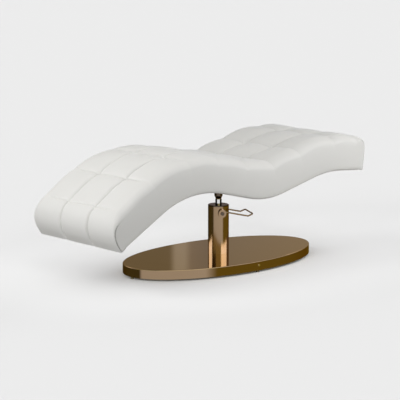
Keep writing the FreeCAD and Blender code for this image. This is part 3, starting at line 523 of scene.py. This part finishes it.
def onWrap(distance):
    # point on the wrap line and the direction out of the bed there
    for length, along in wrapLine:
        if distance <= length or along is wrapLine[-1][1]:
            point, direction = along(distance)
            return point, upFrom(direction)
        distance -= length


print("wrap line:", round(wrapLength, 4), "m")


# quilted cover: sewn tiles, rolled long edges, wrapped down both ends

quilt = {
    "rows": (0.201, 0.427, 0.676, 0.871, 1.066, 1.262, 1.460, 1.722, 1.914),
    "halfWidth": 0.33,
    "seamY": 0.11,
    # heights off the wrap line, at a row or tuft, and in mid tile
    "crown": (0.024, 0.040),
    "edge": (0.027, 0.034),
    "seam": (0.016, 0.028),
    # what is added where the pillows are fuller, from the valley to the head
    "puff": {
        "crown": (0.004, 0.004), "edge": (0.007, 0.013), "rowPower": 0.35, "pillowPower": 0.3,
        "crease": 0.0015, "rowCrease": -0.006, "seamCrease": 0.001, "start": (0.85, 1.2), "end": (1.8, 1.95),
    },
    "valleySeam": {"height": 0.010, "start": (0.5, 0.64), "end": (1.3, 1.42)},
    "tuftReach": 0.02,
    # flatter pillows on the foot end
    "footFace": {"crown": 0.028, "edge": 0.023, "seam": 0.022, "reach": (0.2, 0.36)},
    # height of a hem, and how far above it the pillows are whole
    "hem": {"foot": (0.020, 0.05), "head": (0.034, 0.03)},
    "hemStart": -0.01,
    "hemSeam": 0.002,  # how far a long seam lies below the hem
    "rowPower": 0.6,
    "pillowPower": 0.65,
    "edgePower": 0.7,
    "headFill": 0.004,  # padding over the turn at the head
    "headFillReach": 0.05,
    "sideDraw": 0.0003,
    "seamCrease": (0.010, 0.016),  # depth of the sewn line on the top, and on the foot end
    "seamCreaseWidth": 0.005,
    "seamFade": 0.045,  # the sewn line gets shallower over this length above a hem
    "hemCrease": 0.15,  # share of its depth at the hem
    "rowCrease": 0.0110,
    "rowCreaseWidth": 0.0055,
    "rowCreaseMiddle": 0.7,  # share of that depth half way between two tufts
    "rowFade": (0.05, 0.45),  # rows come out of the rolled edge between these shares of the outer strip
    "rowStep": 0.0075,
    "fewestSteps": 6,
    "rowGrading": 0.85,  # how much closer the steps lie beside a row
    "seamGrading": 1.8,  # and the columns beside a long seam
    "rollSteps": 8,
    "rollTurn": 76,  # degrees that the roll turns through before it runs into the pillows
    "outerSteps": 20,
    "middleSteps": 28,
    "startShare": 0.75,  # of the pillows before they are inflated
    "swellFrom": 0.7,  # the swelling is measured where it should be over this share of the most
    "swellShare": 0.35,  # how far the swelling departs from the drawn pillows
    "moveCap": 0.004,
    "leastMove": 1e-9,
    "back": (0.002, 0.03),  # depth of the pad over the end boards, and along the top
    "backStart": (-0.05, 0.05),  # from the foot's turn
    "backEnd": (-0.1, -0.04),  # from the head's turn
    "backWidth": 0.96,
    "hemDrop": 0.002,
    "flap": 0.03,
    "flapWidth": 0.97,
    "flapInside": 0.25,  # of the hem's drop
    "flapEnd": 0.002,
}
clothFrames = 20
clothFeel = {
    "quality": 5, "mass": 0.4, "air_damping": 2, "tension_stiffness": 20, "compression_stiffness": 20,
    "shear_stiffness": 8, "bending_stiffness": 1, "use_pressure": True, "uniform_pressure_force": 4.0,
    "shrink_min": -0.004,  # spare leather, as a negative shrink
}

# how the cover meets the side panels: soft roll along the top, tight seamed corners down both ends
softEdge = {"tuckIn": 0.0015, "tuckDown": 0.014, "groove": 0.0005, "gap": 0.0, "shoulder": 0.0005}
quiltEdge = {
    "foot": {
        "rollWidth": 0.004, "rollHeight": 0.004, "tuckIn": 0.012, "tuckDown": 0.001,
        "groove": 0.0115, "gap": 0.006, "shoulder": 0.003,
    },
    "hump": {**softEdge, "rollWidth": 0.034, "rollHeight": 0.042},
    "crest": {**softEdge, "rollWidth": 0.068, "rollHeight": 0.052},
    "head": {
        "rollWidth": 0.007, "rollHeight": 0.007, "tuckIn": 0.006, "tuckDown": 0.003,
        "groove": 0.005, "gap": 0.001, "shoulder": 0.003,
    },
    "footReach": (0.09, 0.2),
    "crestReach": (0.4, 1.0),
}


def between(stretch, t):
    # comes in over one length of the wrap line and goes out over another
    return smoothStep(*stretch["start"], t) * (1 - smoothStep(*stretch["end"], t))


def puffed(key, station):
    # a height at a row, and in mid tile, with the fullness of this place
    low, high = (plain + station["puff"] * more for plain, more in zip(quilt[key], quilt["puff"][key]))
    return low, high


def quiltStations():
    marks = (0, *quilt["rows"], wrapLength)
    stations = []
    for start, end in zip(marks, marks[1:]):
        count = max(quilt["fewestSteps"], round((end - start) / quilt["rowStep"]))
        for number in range(count):
            share = number / count
            graded = mix(share, (1 - math.cos(math.pi * share)) / 2, quilt["rowGrading"])
            stations.append({"t": mix(start, end, graded), "tile": graded})
    stations.append({"t": wrapLength, "tile": 0})
    for station in stations:
        t = station["t"]
        station["onRow"] = station["tile"] == 0
        station["puff"] = between(quilt["puff"], t)
        swell = math.sin(math.pi * station["tile"])
        station["rise"] = swell ** (quilt["rowPower"] + quilt["puff"]["rowPower"] * station["puff"])
        station["edgeRise"] = swell ** quilt["edgePower"]
        station["offRow"] = min(abs(t - row) for row in quilt["rows"])
        station["tuft"] = math.exp(-station["offRow"] / quilt["tuftReach"])
        toHem, end = (t, "foot") if t < wrapLength / 2 else (wrapLength - t, "head")
        station["hem"], reach = quilt["hem"][end]
        station["full"] = smoothStep(quilt["hemStart"], reach, toHem)
        station["sewn"] = mix(quilt["hemCrease"], 1, smoothStep(0, quilt["seamFade"], toHem))
        station["fill"] = quilt["headFill"] * math.exp(-((t - headTurnMiddle) / quilt["headFillReach"]) ** 2)
        station["point"], station["out"] = onWrap(t)
        station["footEnd"] = 1 - smoothStep(*quiltEdge["footReach"], t)
        station["footFace"] = 1 - smoothStep(*quilt["footFace"]["reach"], t)
        station["seamRise"] = quilt["valleySeam"]["height"] * between(quilt["valleySeam"], t)
        station["headEnd"] = smoothStep(headTurnStart, headTurnMiddle, t)
        crest = smoothStep(*quiltEdge["crestReach"], t)
        for key in quiltEdge["hump"]:
            value = mix(quiltEdge["hump"][key], quiltEdge["crest"][key], crest)
            value = mix(value, quiltEdge["foot"][key], station["footEnd"])
            station[key] = mix(value, quiltEdge["head"][key], station["headEnd"])
    return stations


def quiltColumns():
    # (side, zone, share): roll from the seam up, outer strip to the long seam, then the middle strip
    roll = [("tuck", 1), ("tuck", 0.5)]
    roll += [("roll", step / quilt["rollSteps"]) for step in range(quilt["rollSteps"])]
    count = quilt["outerSteps"]
    power = quilt["seamGrading"]
    outer = [("outer", 1 - (1 - step / count) ** power) for step in range(count)]
    count = quilt["middleSteps"] // 2
    half = [0.5 * (step / count) ** power for step in range(count + 1)]
    middle = [("middle", share) for share in half + [1 - share for share in reversed(half[:-1])]]
    near = [(-1, *entry) for entry in roll + outer]
    far = [(1, *entry) for entry in reversed(roll + outer)]
    return near + [(0, *entry) for entry in middle] + far


def edgeShape(station):
    # height of the rolled edge, the roll's width and height, and how far out it reaches
    edge = mix(mix(*puffed("edge", station), station["edgeRise"]), quilt["footFace"]["edge"], station["footFace"])
    edge = mix(station["hem"], edge, station["full"]) + station["fill"]
    half = quilt["halfWidth"] - quilt["sideDraw"] * (1 - station["edgeRise"]) * station["full"]
    return edge, station["rollWidth"], station["rollHeight"], half


def skinAt(station, column, share):
    # distance across and height off the wrap line of one point of the cover
    side, zone, along = column
    edge, width, height, half = edgeShape(station)
    full = station["full"]
    seam = mix(quilt["seam"][1], quilt["footFace"]["seam"], station["footFace"])
    seam = mix(seam, quilt["seam"][0], station["tuft"]) + station["seamRise"]
    seam = mix(station["hem"] - quilt["hemSeam"], seam, full) + station["fill"]
    atRow, crown = puffed("crown", station)
    crown = mix(crown, quilt["footFace"]["crown"], station["footFace"])
    crown = mix(atRow, crown, station["rise"])
    crown = mix(station["hem"], crown, full) + station["fill"]
    crown = max(mix(seam, crown, share), edge)
    if zone == "tuck":
        return side * (half - station["tuckIn"] * along), edge - height - station["tuckDown"] * along * full
    if zone == "roll":
        last = math.radians(quilt["rollTurn"])
        inward = (1 - math.cos(along * last)) / (1 - math.cos(last))
        upward = math.sin(along * last) / math.sin(last)
        return side * (half - width * inward), edge - height * (1 - upward)
    if zone == "outer":
        low = edge if along < 0.5 else seam
        swell = math.sin(math.pi * along) if along < 0.5 else arch(station, along)
        return side * mix(half - width, quilt["seamY"], along), mix(low, crown, swell)
    return mix(-quilt["seamY"], quilt["seamY"], along), mix(seam, crown, arch(station, along))


def creaseAt(station, column):
    # how deep the sewing thread draws the leather in
    _, zone, along = column
    if zone in ("tuck", "roll"):
        return 0.0
    outerWidth = quilt["halfWidth"] - station["rollWidth"] - quilt["seamY"]
    offSeam = outerWidth * (1 - along) if zone == "outer" else 2 * quilt["seamY"] * min(along, 1 - along)
    broader = quilt["puff"]["crease"] * station["puff"]
    seam = mix(*quilt["seamCrease"], station["footEnd"]) + quilt["puff"]["seamCrease"] * station["puff"]
    seam *= math.exp(-offSeam / (quilt["seamCreaseWidth"] + broader)) * station["sewn"]
    row = mix(quilt["rowCreaseMiddle"], 1, math.exp(-offSeam / quilt["tuftReach"]))
    depth = quilt["rowCrease"] + quilt["puff"]["rowCrease"] * station["puff"]
    row *= depth * math.exp(-station["offRow"] / (quilt["rowCreaseWidth"] + broader))
    if zone == "outer":
        row *= smoothStep(*quilt["rowFade"], along)
    return max(seam, row)


def arch(station, along):
    # cross-section of a pillow, from 0 at its seams to 1
    power = quilt["pillowPower"] + quilt["puff"]["pillowPower"] * station["puff"]
    return max(0, 1 - (2 * along - 1) ** 2) ** power


def lift(station, y, height, drop=0.0):
    # a point of the bed from its place on the wrap line; drop is how far it lies before or past the end
    along = np.array((station["out"][1], -station["out"][0]))
    flat = station["point"] + station["out"] * height + along * drop
    return np.array((flat[0], y, flat[1]))


def isSewn(station, column):
    _, zone, along = column
    if zone == "outer":
        return station["onRow"] and along > quilt["rowFade"][0]
    return station["onRow"] or zone != "middle" or along in (0, 1)


def inflate(points, faces, pinned):
    # swells a sewn skin with its seams held, and gives back the moved points
    mesh = bpy.data.meshes.new("inflating")
    mesh.from_pydata([tuple(point) for point in points], [], faces)
    piece = bpy.data.objects.new("inflating", mesh)
    scene.collection.objects.link(piece)
    group = piece.vertex_groups.new(name="sewn")
    group.add([index for index, held in enumerate(pinned) if held], 1.0, "REPLACE")
    cloth = piece.modifiers.new("cloth", "CLOTH")
    for key, value in clothFeel.items():
        setattr(cloth.settings, key, value)
    cloth.settings.vertex_group_mass = group.name
    cloth.settings.effector_weights.gravity = 0
    cloth.collision_settings.use_collision = False
    cloth.point_cache.frame_start = 1
    cloth.point_cache.frame_end = clothFrames
    for number in range(1, clothFrames + 1):
        scene.frame_set(number)
    evaluated = piece.evaluated_get(bpy.context.evaluated_depsgraph_get())
    moved = np.array([vertex.co for vertex in evaluated.data.vertices])
    scene.frame_set(1)
    bpy.data.objects.remove(piece)
    bpy.data.meshes.remove(mesh)
    return moved


def quiltSkin(stations, columns):
    # the drawn pillows with a share of the simulated swelling, and then the creases
    places = [(station, column) for station in stations for column in columns]

    def skin(share):
        return np.array([lift(station, *skinAt(station, column, share)) for station, column in places])

    full = skin(1)
    ways = np.array([lift(station, 0, 1) - lift(station, 0, 0) for station, _ in places])
    depths = np.array([creaseAt(station, column) for station, column in places])
    creases = ways * depths[:, None]
    start = skin(quilt["startShare"])
    faces = gridFaces(len(stations), len(columns))
    pinned = [isSewn(station, column) for station, column in places]
    moved = inflate(start, faces, pinned) - start
    reach = np.linalg.norm(moved, axis=1)
    wanted = np.linalg.norm(full - start, axis=1)
    high = wanted > quilt["swellFrom"] * wanted.max()
    scale = np.median(wanted[high]) / np.median(reach[high])
    print("cover swelled by up to", round(reach.max() * 1000, 1), "mm, scaled by", round(scale, 2))
    stray = (start + moved * scale - full) * quilt["swellShare"]
    reach = np.maximum(np.linalg.norm(stray, axis=1), quilt["leastMove"])
    return full + stray * np.minimum(1, quilt["moveCap"] / reach)[:, None] - creases


def backDepth(station):
    # the pad reaches down to the deck along the top, and is thin over the end boards
    comes = [footTurnEnd + offset for offset in quilt["backStart"]]
    goes = [headTurnStart + offset for offset in quilt["backEnd"]]
    return mix(*quilt["back"], between({"start": comes, "end": goes}, station["t"]))


def hemRows(station, columns, sign):
    # closes the pad at one end: rounded hem, fold under the bottom panel, and back up behind it
    drop = sign * quilt["hemDrop"]
    inside = drop * quilt["flapInside"]
    rows = [[], [], [], [], []]
    for column in columns:
        y, height = skinAt(station, column, 1)
        flapY = y * quilt["flapWidth"]
        places = (
            (y, height - quilt["hemDrop"], drop),
            (y, 0, drop),
            (flapY, -quilt["flap"], drop),
            (flapY, -quilt["flap"], inside),
            (y * quilt["backWidth"], -quilt["flapEnd"], inside),
        )
        for row, place in zip(rows, places):
            row.append(lift(station, *place))
    return rows


def makeQuilt():
    stations = quiltStations()
    columns = quiltColumns()
    skin = quiltSkin(stations, columns)
    width = len(columns)
    rows = [skin[index * width:(index + 1) * width] for index in range(len(stations))]
    backs = []
    for station in stations:
        across = [skinAt(station, column, 1)[0] * quilt["backWidth"] for column in columns]
        backs.append([lift(station, y, -backDepth(station)) for y in across])
    headHem = hemRows(stations[-1], columns, 1)
    footHem = hemRows(stations[0], columns, -1)
    belt = rows + headHem + backs[::-1] + footHem[::-1]
    points = np.concatenate([np.array(row) for row in belt + belt[:1]])
    faces = gridFaces(len(belt) + 1, width)
    total = len(belt)
    count = len(stations)
    for edge in (0, width - 1):
        for index in range(count - 1):
            mirror = count + len(headHem) + (count - 1 - index)
            corners = (index, index + 1, mirror - 1, mirror)
            faces.append(tuple(row * width + edge for row in corners))
        headEnd = range(count - 1, count + len(headHem) + 1)
        faces.append(tuple(row * width + edge for row in headEnd))
        footEnd = (*range(total - len(footHem) - 1, total), 0)
        faces.append(tuple(row * width + edge for row in footEnd))
    piece = makePiece("quilted_top", points, faces, materials["upholstery"])
    return piece, stations


quiltPiece, stations = makeQuilt()
subdivide = quiltPiece.modifiers.new("smooth", "SUBSURF")
subdivide.levels = subdivide.render_levels = 1
applyModifiers(quiltPiece)
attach(quiltPiece, "bed")
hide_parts("quilted_cover", "foam_layer")
print("quilted cover:", len(quiltPiece.data.vertices), "points")


# side panels: leatherette stretched over thin padding, sewn to the cover and folded under

sidePanel = {
    "halfWidth": 0.33,
    "rows": 18,
    "belly": 0.003,
    "bellyPower": 0.8,
    "flatEnd": 0.4,  # the belly comes in over this length from both ends
    "settle": 0.3,  # share of the depth over which the panel comes out to its width
    "shoulderTurns": (0, 30, 60, 90),
    "bottomTurns": (22, 45, 67, 90),
    "bottomRound": (0.010, 0.020),  # how far the bottom edge turns in, and over what height
    # depth of the panel from which these have their whole size
    "wholeFrom": {"groove": 0.01, "gap": 0.006, "shoulder": 0.006, "bottomRound": 0.06},
    "leastDepth": 1e-4,
    "underDrop": 0.0015,
    "underFold": 0.025,
    "thickness": 0.013,
    "backGap": 0.0004,
    "backShares": (0.8, 0.5, 0.2, 0),
}


def seamHeight(station):
    edge, _, height, _ = edgeShape(station)
    return edge - height


def panelBottom(station, ends):
    # where the panel's lower edge lies under a place on its upper edge
    t = station["t"]
    if t < footTurnEnd:
        return mix(ends["foot"], ends["footTurn"], t / footTurnEnd)
    if t > headTurnStart:
        return mix(ends["headTurn"], ends["head"], (t - headTurnStart) / (wrapLength - headTurnStart))
    return station["point"] - station["out"] * wave["level"]


def panelRun(station, ends, side):
    # one run of points from the seam down to the fold under the bed
    top = station["point"] + station["out"] * seamHeight(station)
    low = panelBottom(station, ends)
    fall = low - top
    depth = np.linalg.norm(fall)
    down = fall / depth if depth > sidePanel["leastDepth"] else np.array((0, -1.0))
    grown = {key: min(1, depth / whole) for key, whole in sidePanel["wholeFrom"].items()}
    groove, gap, shoulder = (station[key] * grown[key] for key in ("groove", "gap", "shoulder"))
    turnIn, turnHeight = (value * grown["bottomRound"] for value in sidePanel["bottomRound"])
    half, wide = edgeShape(station)[3], sidePanel["halfWidth"]
    belly = sidePanel["belly"]
    for toEnd in (station["t"], wrapLength - station["t"]):
        belly *= smoothStep(0.0, sidePanel["flatEnd"], toEnd)
    run = [(0, half - groove), (gap, half - groove)]
    for angle in sidePanel["shoulderTurns"]:
        turn = math.radians(angle)
        run.append((gap + shoulder * (1 - math.cos(turn)), half - shoulder * (1 - math.sin(turn))))
    for row in range(1, sidePanel["rows"] + 1):
        share = row / sidePanel["rows"]
        swell = belly * math.sin(math.pi * share) ** sidePanel["bellyPower"]
        place = mix(gap + shoulder, depth - turnHeight, share)
        run.append((place, mix(half, wide, smoothStep(0, sidePanel["settle"], share)) + swell))
    for angle in sidePanel["bottomTurns"]:
        turn = math.radians(angle)
        place = depth - turnHeight * (1 - math.sin(turn)) + sidePanel["underDrop"] * angle / 90
        run.append((place, wide - turnIn * (1 - math.cos(turn))))
    foldEnd = wide - turnIn - sidePanel["underFold"]
    back = wide - sidePanel["thickness"]
    run.append((depth + sidePanel["underDrop"], foldEnd))
    run.append((depth + sidePanel["backGap"], foldEnd))
    run.append((depth + sidePanel["backGap"], back))
    run += [(depth * share, back) for share in sidePanel["backShares"]]
    points = []
    for place, y in run:
        flat = top + down * place
        points.append(np.array((flat[0], side * y, flat[1])))
    return points


def makeSidePanel(name, side, node):
    footPoint, footOut = onWrap(footTurnEnd)
    headPoint, headOut = onWrap(headTurnStart)
    ends = {
        "foot": stations[0]["point"] + stations[0]["out"] * seamHeight(stations[0]),
        "head": stations[-1]["point"] + stations[-1]["out"] * seamHeight(stations[-1]),
        "footTurn": footPoint - footOut * wave["level"],
        "headTurn": headPoint - headOut * wave["level"],
    }
    runs = [panelRun(station, ends, side) for station in stations]
    count = len(runs[0])
    faces = gridFaces(len(runs), count)
    for index in range(len(runs) - 1):
        first, last = index * count, index * count + count - 1
        faces.append((last, first, first + count, last + count))
    faces += [tuple(range(count)), tuple(range((len(runs) - 1) * count, len(runs) * count))]
    piece = makePiece(name, np.concatenate(runs), faces, materials["upholstery"])
    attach(piece, "bed")
    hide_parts(node)


makeSidePanel("side_panel_left", 1, "side_pad_left")
makeSidePanel("side_panel_right", -1, "side_pad_right")
print("side panels made")


# painted shade: a dark grey cord laid into the two upright seam grooves of the foot end, darkening them where
# shade falls

shadeCord = {
    "radius": 0.0028,
    "sides": 8,
    "depth": (0.004, 0.0075),  # where it runs out on the top, and down the foot end
    "reach": 0.17,
}


# painted shade: a dark tube along each upright seam groove of the foot end
def makeShadeCord(name, side):
    points = []
    reached = [station for station in stations if station["t"] < shadeCord["reach"]]
    for station in reached:
        sunk = mix(*shadeCord["depth"], station["footEnd"])
        centre = lift(station, edgeShape(station)[3] - sunk, seamHeight(station) - station["gap"] / 2)
        for number in range(shadeCord["sides"]):
            turn = 2 * math.pi * number / shadeCord["sides"]
            away = lift(station, 0, math.sin(turn)) - lift(station, 0, 0)
            offset = away * shadeCord["radius"] + np.array((0, math.cos(turn) * shadeCord["radius"], 0))
            points.append((centre + offset) * (1, side, 1))
    piece = makePiece(name, points, tubeFaces(len(reached), shadeCord["sides"]), materials["seamShadeCord"])
    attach(piece, "bed")


makeShadeCord("foot_shadeCord_left", 1)
makeShadeCord("foot_shadeCord_right", -1)
print("welts sewn in")


# spring under the pump's plunger, drawn again as a piece of its own

coil = {"turns": 3, "steps": 32, "wire": 0.0008, "sides": 10, "stroke": 0.0075}


def makeSpring(name, node):
    low, high = (np.array(corner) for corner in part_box(node))
    wire, rings = coil["wire"], coil["turns"] * coil["steps"] + 1
    radius = (high[0] - low[0]) / 2 - wire
    points = []
    for ring in range(rings):
        turn = 2 * math.pi * ring / coil["steps"]
        out = np.array((math.cos(turn), math.sin(turn), 0))
        centre = (low + high) / 2 + out * radius
        centre[2] = mix(low[2] + wire, high[2] - wire, ring / (rings - 1))
        for number in range(coil["sides"]):
            around = 2 * math.pi * number / coil["sides"]
            points.append(centre + (out * math.cos(around) + (0, 0, math.sin(around))) * wire)
    piece = makePiece(name, points, tubeFaces(rings, coil["sides"]), materials["steel"])
    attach(piece, "base")
    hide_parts(node)
    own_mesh(piece)


makeSpring("return_spring", "plunger_spring")


# stage: pale floor, soft panels of light, and a studio that the metal mirrors

stage = {
    "floorSize": 160.0,
    # painted light: the floor is paler in an oval round the base, lightening its shadow there
    "floorPaintedLight": (0.75, 0.75, 0.75),
    "floorFar": (0.559, 0.559, 0.559),
    "floorBounce": (0.174, 0.174, 0.174),  # the floor as the object sees it
    "paintedLightCentre": (0.295, 0.079, 0.0),
    "paintedLightSize": (0.331, 0.214, 1.0),
    "paintedLightReach": (1.0, 6.0),  # in those sizes, from the painted-light tone near the base to the far one
    "skyLight": 0.10,
    "background": 0.83,
    "aim": (0.0, 0.0, 0.45),
    "sunPlace": (0.0, 0.0, 3.0),
    "horizon": (-0.02, 0.08),  # upward part of a ray where the low studio gives way to the high one
    "overhead": (0.3, 0.5),
}
# suns for the floor alone: azimuth that the light comes from, tilt off the vertical, width in degrees
suns = {
    "floorDome": {"from": 0, "tilt": 0, "angle": 176, "strength": 2.04},
    "floorFront": {"from": 241, "tilt": 54, "angle": 36, "strength": 1.04},
    "floorFoot": {"from": 194, "tilt": 63, "angle": 36, "strength": 1.48},
    "floorRear": {"from": 149, "tilt": 55, "angle": 36, "strength": 1.38},
    "floorHead": {"from": 355, "tilt": 76, "angle": 36, "strength": 1.2},
}
panels = {
    "footPanel": {"place": (-3.0, 0.0, 0.8), "size": 2.0, "power": 37.0},
    "frontPanel": {"place": (0.5, -3.0, 1.2), "size": 2.0, "power": 21.2},
    "headPanel": {"place": (2.5, -2.5, 1.5), "size": 2.0, "power": 33.0},
    "highPanel": {"place": (1.7, -2.3, 2.6), "size": 1.5, "power": 23.0},
    "backPanel": {"place": (0.0, 3.0, 2.0), "size": 2.0, "power": 12.0},
    "footTopPanel": {"place": (-1.2, 0.0, 2.2), "size": 1.5, "power": 15.8},
}
# strip lights for the base and the sleeve alone, which show only in a second mirror
stripMount = {"rise": 10.5, "distance": 4.0, "height": 1.0, "rayDepth": 2.5}
strips = {
    "leftStrip": {"from": 127, "width": 3.9, "glow": (6.5, 9.6, 19.0)},
    "rightStrip": {"from": 293, "width": 5.6, "glow": (6.5, 9.2, 17.0)},
}


def makeFloor():
    half = stage["floorSize"] / 2
    corners = [(-half, -half, 0), (half, -half, 0), (half, half, 0), (-half, half, 0)]
    material, tree, bsdf = newMaterial("studioFloor")
    bsdf.inputs["Roughness"].default_value = 1.0
    bsdf.inputs["Specular IOR Level"].default_value = 0.0
    where = addNode(tree, "ShaderNodeTexCoord").outputs["Object"]
    scaled = addVector(tree, "DIVIDE", addVector(tree, "SUBTRACT", where, stage["paintedLightCentre"]), stage["paintedLightSize"])
    distance = addNode(tree, "ShaderNodeVectorMath", {0: scaled}, operation="LENGTH").outputs["Value"]
    near, far, bounce = ((*stage[key], 1) for key in ("floorPaintedLight", "floorFar", "floorBounce"))
    # painted light: the floor's colour is paler near the base and fades out to the far tone
    shown = riseMix(tree, distance, *stage["paintedLightReach"], near, far)
    seen = addNode(tree, "ShaderNodeLightPath").outputs["Is Camera Ray"]
    tone = addMix(tree, seen, bounce, shown)
    tree.links.new(tone, bsdf.inputs["Base Color"])
    floor = makePiece("studio_floor", corners, [(0, 1, 2, 3)], material, smooth=False)
    floor.visible_glossy = False
    return floor


def lampFor(state, *pieces):
    # collection that keeps a lamp off some pieces, or on them alone
    group = bpy.data.collections.new(pieces[0].name + " " + state.lower())
    for index, piece in enumerate(pieces):
        group.objects.link(piece)
        group.collection_objects[index].light_linking.link_state = state
    return group


def makeLamp(name, kind, strength, receivers):
    data = bpy.data.lights.new(name, kind)
    data.energy = strength
    lamp = bpy.data.objects.new(name, data)
    lamp.visible_camera = False
    lamp.visible_glossy = False
    scene.collection.objects.link(lamp)
    lamp.light_linking.receiver_collection = receivers
    return lamp


def makePanels(floor):
    receivers = lampFor("EXCLUDE", floor)
    for name, panel in panels.items():
        lamp = makeLamp(name, "AREA", panel["power"], receivers)
        lamp.data.size = panel["size"]
        lamp.location = panel["place"]
        toward = Vector(panel["place"]) - Vector(stage["aim"])
        lamp.rotation_euler = toward.to_track_quat("Z", "Y").to_euler()


def makeSuns(floor):
    receivers = lampFor("INCLUDE", floor)
    for name, sun in suns.items():
        lamp = makeLamp(name, "SUN", sun["strength"], receivers)
        lamp.data.angle = math.radians(sun["angle"])
        lamp.rotation_euler = (0, math.radians(sun["tilt"]), math.radians(sun["from"]))
        lamp.location = stage["sunPlace"]


def makeStrips():
    receivers = lampFor("INCLUDE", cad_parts["base_cover"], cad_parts["column_sleeve"])
    height, rise = stripMount["height"], math.radians(stripMount["rise"])
    for name, strip in strips.items():
        brightest = max(strip["glow"])
        lamp = makeLamp(name, "AREA", brightest * math.pi * strip["width"] * height, receivers)
        lamp.visible_glossy = True
        lamp.data.color = [part / brightest for part in strip["glow"]]
        lamp.data.shape = "RECTANGLE"
        lamp.data.size, lamp.data.size_y = strip["width"], height
        turn = math.radians(strip["from"])
        arm = Vector((math.cos(turn) * math.cos(rise), math.sin(turn) * math.cos(rise), math.sin(rise)))
        lamp.location = Vector((wave["columnX"], 0, 0)) + arm * stripMount["distance"]
        lamp.rotation_euler = arm.to_track_quat("Z", "Y").to_euler()
        lamp.data.use_nodes = True
        tree = lamp.data.node_tree
        depth = addNode(tree, "ShaderNodeLightPath").outputs["Ray Depth"]
        shown = addMath(tree, "GREATER_THAN", depth, stripMount["rayDepth"])
        tree.links.new(shown, tree.nodes["Emission"].inputs["Strength"])


# azimuth in degrees from +X, and what a mirror sees there: low down, just above the horizon, and overhead
lowStudio = (
    (-180, (0.80, 0.80, 0.80)),
    (-86, (0.86, 0.86, 0.86)),
    (-77, (0.28, 0.21, 0.03)),
    (40, (0.28, 0.21, 0.03)),
    (48, (0.125, 0.104, 0.03)),
    (168, (0.11, 0.09, 0.03)),
    (177, (0.78, 0.78, 0.78)),
)
highStudio = (
    (-180, (1.25, 1.45, 1.0)),
    (-80, (1.25, 1.45, 1.0)),
    (-70, (0.66, 0.72, 0.85)),
    (44, (0.66, 0.72, 0.85)),
    (52, (0.41, 0.435, 0.45)),
    (150, (0.41, 0.435, 0.45)),
    (158, (0.75, 0.8, 0.35)),
    (176, (0.75, 0.8, 0.35)),
)
# the narrow strip of it that the flat base top shows the camera
stripSpan = (44.0, 52.0)
stripStudio = (
    (44.0, (0.66, 0.72, 0.85)),
    (45.3, (0.66, 0.72, 0.85)),
    (47.6, (0.58, 0.65, 0.83)),
    (48.5, (0.50, 0.56, 0.77)),
    (49.0, (0.56, 0.62, 0.83)),
    (49.22, (0.81, 0.955, 1.32)),
    (49.53, (0.81, 0.955, 1.32)),
    (49.72, (0.41, 0.435, 0.45)),
)
overheadStudio = (1.6, 1.55, 1.45)


def studioRamp(tree, turn, stops, span=(-180.0, 180.0)):
    low, high = span
    links = {"Value": turn, "From Min": math.radians(low), "From Max": math.radians(high)}
    azimuth = addNode(tree, "ShaderNodeMapRange", links).outputs["Result"]
    node = tree.nodes.new("ShaderNodeValToRGB")
    ramp = node.color_ramp
    while len(ramp.elements) > 1:
        ramp.elements.remove(ramp.elements[-1])
    for index, (degrees, colour) in enumerate(stops):
        place = (degrees - low) / (high - low)
        element = ramp.elements[0] if index == 0 else ramp.elements.new(place)
        element.position = place
        element.color = (*colour, 1)
    tree.links.new(azimuth, node.inputs["Fac"])
    return node.outputs["Color"]


def makeWorld():
    world = bpy.data.worlds.new("studio")
    scene.world = world
    world.use_nodes = True
    tree = world.node_tree
    tree.nodes.clear()
    way = addNode(tree, "ShaderNodeTexCoord").outputs["Generated"]
    parts = addNode(tree, "ShaderNodeSeparateXYZ", {0: way})
    turn = addMath(tree, "ARCTAN2", parts.outputs["Y"], parts.outputs["X"])
    low = studioRamp(tree, turn, lowStudio)
    high = studioRamp(tree, turn, highStudio)
    strip = studioRamp(tree, turn, stripStudio, stripSpan)
    middle, reach = math.radians(sum(stripSpan) / 2), math.radians(stripSpan[1] - stripSpan[0]) / 2
    inside = addNode(tree, "ShaderNodeMath", {0: turn, 1: middle, 2: reach}, operation="COMPARE").outputs[0]
    high = addMix(tree, inside, high, strip)
    seen = riseMix(tree, parts.outputs["Z"], *stage["horizon"], low, high)
    seen = riseMix(tree, parts.outputs["Z"], *stage["overhead"], seen, (*overheadStudio, 1))
    mirrored = addNode(tree, "ShaderNodeBackground", {"Color": seen})
    light = addNode(tree, "ShaderNodeLightPath")
    white = (1, 1, 1, 1)
    soft = addNode(tree, "ShaderNodeBackground", {"Color": white, "Strength": stage["skyLight"]})
    pale = addNode(tree, "ShaderNodeBackground", {"Color": white, "Strength": stage["background"]})
    camera = light.outputs["Is Camera Ray"]
    direct = addNode(tree, "ShaderNodeMixShader", {0: camera, 1: soft.outputs[0], 2: pale.outputs[0]})
    sharp = addMath(tree, "MAXIMUM", light.outputs["Is Glossy Ray"], light.outputs["Is Transmission Ray"])
    whole = addNode(tree, "ShaderNodeMixShader", {0: sharp, 1: direct.outputs[0], 2: mirrored.outputs[0]})
    addNode(tree, "ShaderNodeOutputWorld", {"Surface": whole.outputs[0]})


floor = makeFloor()
makePanels(floor)
makeSuns(floor)
makeStrips()
makeWorld()
print("stage lit")
